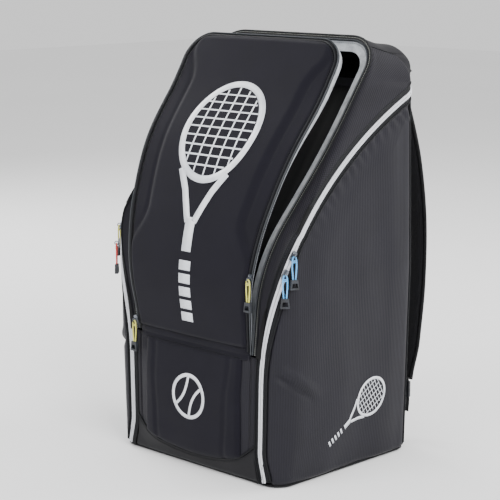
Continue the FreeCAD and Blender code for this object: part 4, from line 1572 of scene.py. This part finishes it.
def bake(piece):
    """Applies a piece's modifiers, keeping its materials."""
    graph = bpy.context.evaluated_depsgraph_get()
    mesh = bpy.data.meshes.new_from_object(piece.evaluated_get(graph))
    piece.modifiers.clear()
    piece.data = mesh


def inflate(piece, pressure, cap):
    start = [vertex.co.copy() for vertex in piece.data.vertices]
    cloth = piece.modifiers.new("cloth", "CLOTH")
    cloth.settings.use_pressure = True
    cloth.settings.uniform_pressure_force = pressure
    cloth.settings.effector_weights.gravity = 0
    scene = bpy.context.scene
    for number in range(1, 21):
        scene.frame_set(number)
    bake(piece)
    scene.frame_set(1)
    for vertex, before in zip(piece.data.vertices, start):
        move = vertex.co - before
        if move.length > cap:
            vertex.co = before + move * (cap / move.length)


def make_yoke_and_pads():
    """Webbing yoke and the three back pads."""
    low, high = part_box("strap_yoke")

    def yoke_point(across, up):
        bow = 1.2 * MM * hump(up, 0.5, 0.5)
        return Vector((low.x + (high.x - low.x) * across, high.y - 2 * MM + bow,
                       low.z + (high.z - low.z) * up))

    mesh = grid("yoke_webbing", 8, 60, yoke_point)
    piece = new_object("yoke_webbing", mesh, "pack", "webbing", WEBBING)
    thicken(piece, 3 * MM)
    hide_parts("strap_yoke")
    low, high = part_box("back_pads")
    lumbar = 178 * MM
    column = lumbar + 12 * MM
    gap = 24 * MM
    for name, width, height in (("right", (gap, high.x), (column, high.z)),
                                ("left", (low.x, -gap), (column, high.z)),
                                ("lumbar", (low.x, high.x), (low.z, lumbar))):
        piece = make_back_pad(f"back_pad_{name}", width, height, low.y, high.y - low.y)
        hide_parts("back_pads")


def make_back_pad(name, width, height, wall, thick):
    """A foam pad: flat on the wall, crowned outside, with round corners and cross channels."""
    (x0, x1), (z0, z1) = width, height
    radius = 22 * MM
    upright = z1 - z0 > x1 - x0

    def point(across, up):
        x = x0 + (x1 - x0) * across
        z = z0 + (z1 - z0) * up
        middle = Vector((clamp(x, x0 + radius, x1 - radius), clamp(z, z0 + radius, z1 - radius)))
        way = Vector((x, z)) - middle
        if way.length > radius:
            x, z = middle + way * (radius / way.length)
        gap = max(radius - way.length, 0)
        rise = thick * (0.3 + 0.7 * math.sqrt(clamp(gap / (14 * MM))))
        along = (z - z0) / (82 * MM) if upright else abs(x) / (92 * MM)
        channel = 5 * MM * hump(along % 1, 0.5, 0.08)
        return Vector((x, wall + rise - channel * smooth(gap, 4 * MM, 20 * MM), z))

    rows, columns = (96, 30) if upright else (30, 70)
    mesh = grid(name, rows, columns, point)
    shape = bmesh.new()
    shape.from_mesh(mesh)
    rim = [edge for edge in shape.edges if edge.is_boundary]
    moved = bmesh.ops.extrude_edge_only(shape, edges=rim)["geom"]
    for item in moved:
        if isinstance(item, bmesh.types.BMVert):
            item.co.y = wall
    far_rim = [item for item in moved if isinstance(item, bmesh.types.BMEdge)]
    bmesh.ops.contextual_create(shape, geom=far_rim)
    shape.to_mesh(mesh)
    shape.free()
    outward(mesh)
    piece = new_object(name, mesh, None, "foam_mesh", MESH)
    swell(piece, 1.0, 3 * MM)
    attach(piece, "pack")
    return piece


def make_handle():
    low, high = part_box("grab_handle")
    depth = (low.y + high.y) / 2
    half = (low.x + high.x) / 2 + (high.x - low.x) / 2 - 9 * MM
    top = high.z
    path = [Vector((-half, depth, top)), Vector((-half, depth, top - 14 * MM)),
            Vector((-half + 5 * MM, depth, top - 32 * MM)), Vector((-14 * MM, depth, top - 38 * MM)),
            Vector((14 * MM, depth, top - 38 * MM)), Vector((half - 5 * MM, depth, top - 32 * MM)),
            Vector((half, depth, top - 14 * MM)), Vector((half, depth, top))]
    line = wire("handle_webbing", path, 1 * MM, WEBBING)
    line.data.bevel_depth = 0
    line.data.splines[0].resolution_u = 8
    graph = bpy.context.evaluated_depsgraph_get()
    spine = [vertex.co.copy() for vertex in
             bpy.data.meshes.new_from_object(line.evaluated_get(graph)).vertices]
    bpy.data.objects.remove(line)
    points, faces, uvs = [], [], []
    for index, place in enumerate(spine):
        ahead = spine[min(index + 1, len(spine) - 1)]
        before = spine[max(index - 1, 0)]
        way = (ahead - before).normalized()
        normal = Vector((-way.z, 0, way.x))
        grip = hump(index / (len(spine) - 1), 0.5, 0.32)
        for across, out in ((-9, -1.6), (-4, -2.3), (4, -2.3), (9, -1.6), (9, 1.6), (4, 2.3),
                            (-4, 2.3), (-9, 1.6)):
            points.append(place + normal * across * MM * (1 - 0.18 * grip)
                          + Vector((0, out * MM * (1 + 0.5 * grip), 0)))
            uvs.append((across * MM, index * 3 * MM))
    for row in range(len(spine) - 1):
        for column in range(8):
            here, beside = row * 8 + column, row * 8 + (column + 1) % 8
            faces.append((here, beside, beside + 8, here + 8))
    faces += [tuple(range(8)), tuple(range(len(points) - 8, len(points)))[::-1]]
    mesh = mesh_from("handle_webbing", points, faces, uvs)
    outward(mesh)
    piece = new_object("handle_webbing", mesh, "handle", "webbing", WEBBING)
    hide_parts("grab_handle")
    paint("handle_anchors", WEBBING)


# ---------------------------------------------------------------- sliders and pulls

RING_OUT = 9.5 * MM
PULL = 38 * MM
CORD = 2.6 * MM
TAG_HEIGHT = 17 * MM


def solid_outline(name, outline, low, high, bevel):
    """A plate: an outline in X and Z, between two depths in Y, with rounded edges."""
    shape = bmesh.new()
    face = shape.faces.new([shape.verts.new((x, low, z)) for x, z in outline])
    moved = bmesh.ops.extrude_face_region(shape, geom=[face])
    verts = [item for item in moved["geom"] if isinstance(item, bmesh.types.BMVert)]
    bmesh.ops.translate(shape, verts=verts, vec=(0, high - low, 0))
    bmesh.ops.recalc_face_normals(shape, faces=shape.faces)
    edges = [edge for edge in shape.edges if edge.calc_face_angle(0) > 0.6]
    bmesh.ops.bevel(shape, geom=edges, offset=bevel, segments=3, profile=0.6, affect="EDGES")
    mesh = bpy.data.meshes.new(name)
    shape.to_mesh(mesh)
    shape.free()
    return mesh


def slider_mesh(name, ring_turn):
    """Slider in its own frame: zip along Z, outside towards -Y."""
    nose = [(-2.6, 8.6), (2.6, 8.6), (4.9, 6.2), (4.4, 1.0), (4.9, -4.2), (3.8, -8.4), (-3.8, -8.4),
            (-4.9, -4.2), (-4.4, 1.0), (-4.9, 6.2)]
    shape = bmesh.new()
    for low, high, grow in ((-5.6, -3.9, 1.0), (-6.6, -5.2, 0.62)):
        outline = [(x * grow * MM, z * grow * MM) for x, z in nose]
        part = solid_outline(name + "_part", outline, low * MM, high * MM, 0.45 * MM)
        shape.from_mesh(part)
        bpy.data.meshes.remove(part)
    turns, sides = 28, 8
    turn_back = Matrix.Rotation(ring_turn, 3, "Y")
    rings = []
    for step in range(turns):
        angle = 2 * math.pi * step / turns
        ring = []
        for side in range(sides):
            around = 2 * math.pi * side / sides
            reach = 3.2 * MM + 0.85 * MM * math.cos(around)
            place = Vector((0.85 * MM * math.sin(around), reach * math.cos(angle),
                            reach * math.sin(angle)))
            ring.append(shape.verts.new(turn_back @ place + Vector((0, -RING_OUT, 0))))
        rings.append(ring)
    for step in range(turns):
        ring, after = rings[step], rings[(step + 1) % turns]
        for side in range(sides):
            beside = (side + 1) % sides
            shape.faces.new((ring[side], ring[beside], after[beside], after[side]))
    mesh = bpy.data.meshes.new(name)
    bmesh.ops.recalc_face_normals(shape, faces=shape.faces)
    shape.to_mesh(mesh)
    shape.free()
    mesh.polygons.foreach_set("use_smooth", [True] * len(mesh.polygons))
    return mesh


def put_slider(body, node, origin, yaw, lean, slant):
    mesh = slider_mesh(f"{node}_metal", -slant)
    turn = Matrix.Rotation(yaw, 4, "Z") @ Matrix.Rotation(lean, 4, "X")
    turn = turn @ Matrix.Rotation(slant, 4, "Y")
    mesh.transform(Matrix.Translation(origin) @ turn)
    piece = new_object(mesh.name, mesh, body, "slider_metal", METAL)
    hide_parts(node)


def tag_mesh(name):
    """Moulded tag: a tapered block with a window through its lower half."""
    half = 8 * MM
    outline = [(-0.36 * 2 * half, -PULL), (0.36 * 2 * half, -PULL), (half, -PULL - TAG_HEIGHT),
               (-half, -PULL - TAG_HEIGHT)]
    block = solid_outline(name, outline, -3.2 * MM, 3.2 * MM, 1.1 * MM)
    window = [(-4.2 * MM, -PULL - 6 * MM), (4.2 * MM, -PULL - 6 * MM), (5.2 * MM, -PULL - 13.5 * MM),
              (-5.2 * MM, -PULL - 13.5 * MM)]
    hole = solid_outline(name + "_hole", window, -6 * MM, 6 * MM, 0.6 * MM)
    piece = bpy.data.objects.new(name, block)
    cutter = bpy.data.objects.new(name + "_hole", hole)
    for item in (piece, cutter):
        bpy.context.scene.collection.objects.link(item)
    cut = piece.modifiers.new("window", "BOOLEAN")
    cut.object = cutter
    cut.operation = "DIFFERENCE"
    bpy.context.view_layer.update()
    graph = bpy.context.evaluated_depsgraph_get()
    mesh = bpy.data.meshes.new_from_object(piece.evaluated_get(graph))
    for item in (piece, cutter):
        bpy.data.objects.remove(item)
    return mesh


# half of the loop's route: distance sideways in millimetres, and level as a share of the drop
PULL_HALF = [(2.2, -1.0), (3.0, -0.78), (3.9, -0.48), (3.7, -0.22), (2.5, -0.018)]


def put_pull(body, cord_node, tag_node, ring, yaw, colour):
    turn = Matrix.Translation(ring) @ Matrix.Rotation(yaw, 4, "Z")
    mesh = tag_mesh(f"{tag_node}_block")
    mesh.transform(turn)
    mesh.polygons.foreach_set("use_smooth", [False] * len(mesh.polygons))
    tag = new_object(f"{tag_node}_moulding", mesh, body, "tag_moulding", TAG)
    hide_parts(tag_node)
    left = [Vector((-half * MM, 0, level * PULL)) for half, level in PULL_HALF]
    right = [Vector((half * MM, 0, level * PULL)) for half, level in reversed(PULL_HALF)]
    route = [turn @ point for point in left + right]
    cord = wire(f"{cord_node}_braid", route, CORD / 2, CORDS[colour])
    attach(cord, body)
    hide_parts(cord_node)
    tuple(route[0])
    knot = [turn @ Vector((x * MM, y * MM, z * MM)) for x, y, z in
            ((-2.6, -1.2, -7.2), (0, -2.6, -6.4), (2.9, -0.4, -7.4), (1.6, 2.3, -8.4),
             (-1.6, 2.4, -8.9), (-3.0, 0, -9.8), (-0.5, -2.6, -9.6), (2.8, -1.4, -9.0))]
    wrap = wire(f"{cord_node}_knot", knot, 0.8 * MM, CORDS[colour])
    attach(wrap, body)


MAIN_LEVELS = {"upper": 396 * MM, "lower": 366 * MM}
RACKET_LEVELS = {"right": 355 * MM, "left": 240 * MM}


def make_main_pulls():
    for side, sign in SIDES:
        for height, level in MAIN_LEVELS.items():
            point = side_chart(main_zip_at(level), level, 0)
            beyond = side_chart(main_zip_at(level + 20 * MM), level + 20 * MM, 0)
            slant = Vector((0, 0, 1)).angle(beyond - point)
            centre = Vector((WAIST - FRONT_CORNER, FRONT + FRONT_CORNER, level))
            normal = (point - centre).normalized()
            for vector in (point, normal):
                vector.x *= sign
            yaw = math.atan2(normal.x, -normal.y)
            name = f"main_slider_{height}_{side}"
            put_slider(name, name, point, yaw, 0.0, sign * slant)
            colour = "blue" if side == "right" else ("yellow" if height == "upper" else "red")
            put_pull(f"main_pull_{height}_{side}", f"main_pull_cord_{height}_{side}",
                     f"main_pull_tag_{height}_{side}", point + normal * RING_OUT, yaw, colour)


def make_racket_pulls():
    (low, low_half), (knee, knee_half) = OUTLINE[:2]
    slope = (knee_half - low_half) / (knee - low)
    for side, sign in SIDES:
        level = RACKET_LEVELS[side]
        across = sign * (low_half + slope * (level - low))
        _, _, lean = front_profile(front_run(level))
        slant = sign * math.atan(slope)
        name = f"racket_slider_{side}"
        point = flap_chart(across, front_run(level), 0)
        put_slider(name, name, point, 0.0, FLAP_OPEN - lean, slant)
        ring = flap_chart(across, front_run(level), RING_OUT)
        put_pull(f"racket_pull_{side}", f"racket_pull_cord_{side}", f"racket_pull_tag_{side}",
                 ring, 0.0, "yellow")


# ---------------------------------------------------------------- stage

VIEW_AZIMUTH = math.radians(44.4)
VIEW_DROP = math.radians(10.7)
VIEW_DISTANCE = 2.9118
VIEW_TARGET = (-28.4 * MM, 358 * MM)
VIEW_LENS = 118.4


def make_camera():
    ahead = Vector((-math.sin(VIEW_AZIMUTH) * math.cos(VIEW_DROP),
                    math.cos(VIEW_AZIMUTH) * math.cos(VIEW_DROP), -math.sin(VIEW_DROP)))
    right = Vector((math.cos(VIEW_AZIMUTH), math.sin(VIEW_AZIMUTH), 0))
    target = right * VIEW_TARGET[0] + Vector((0, 0, 370 * MM)) + right.cross(ahead) * -12.3 * MM
    camera = bpy.data.cameras.new("camera")
    camera.lens = VIEW_LENS
    camera.clip_end = 50
    eye = bpy.data.objects.new("camera", camera)
    eye.location = target - ahead * VIEW_DISTANCE
    eye.rotation_euler = ahead.to_track_quat("-Z", "Y").to_euler()
    bpy.context.scene.collection.objects.link(eye)
    bpy.context.scene.camera = eye


def make_lights():
    for name, place, size, power, tint in (
            ("key", (2.6, -1.0, 2.2), 1.6, 100, (1, 1, 1)),
            ("front", (-0.6, -3.0, 2.4), 1.8, 60, (0.98, 0.99, 1)),
            ("rear_rim", (1.6, 2.4, 2.2), 1.4, 70, (1, 1, 1)),
            ("left_rim", (-2.8, 0.4, 1.9), 1.4, 70, (1, 1, 1))):
        light = bpy.data.lights.new(name, "AREA")
        light.size = size
        light.energy = power
        light.color = tint
        lamp = bpy.data.objects.new(name, light)
        lamp.location = place
        aim = Vector((0, 0, 0.36)) - Vector(place)
        lamp.rotation_euler = aim.to_track_quat("-Z", "Y").to_euler()
        bpy.context.scene.collection.objects.link(lamp)
    world = bpy.data.worlds.new("studio")
    world.use_nodes = True
    world.node_tree.nodes["Background"].inputs[0].default_value = (1, 1, 1, 1)
    world.node_tree.nodes["Background"].inputs[1].default_value = 1.0
    bpy.context.scene.world = world


def make_floor():
    recipe = Recipe("floor", 0.9)
    grain = recipe.grain(recipe.place(uv=False), 1.4, 3.0)
    recipe.colour(recipe.ramp(grain, (0.88, 0.88, 0.88, 1), (0.94, 0.94, 0.94, 1)))
    mesh = mesh_from("floor", [(-9, -9, 0), (9, -9, 0), (9, 9, 0), (-9, 9, 0)], [(0, 1, 2, 3)])
    mesh.materials.append(recipe.material)
    floor = bpy.data.objects.new("floor", mesh)
    floor.location.z = -0.3 * MM
    bpy.context.scene.collection.objects.link(floor)


make_camera()
make_main_pulls()
make_racket_pulls()
make_lower_front()
make_lower_panel()
make_hinge_strip()
make_flap()
make_racket_zips()
make_top()
make_gussets()
make_sides()
make_main_zips()
make_back()
make_base()
make_divider()
make_prints()
make_straps()
make_yoke_and_pads()
make_handle()
make_lights()
make_floor()
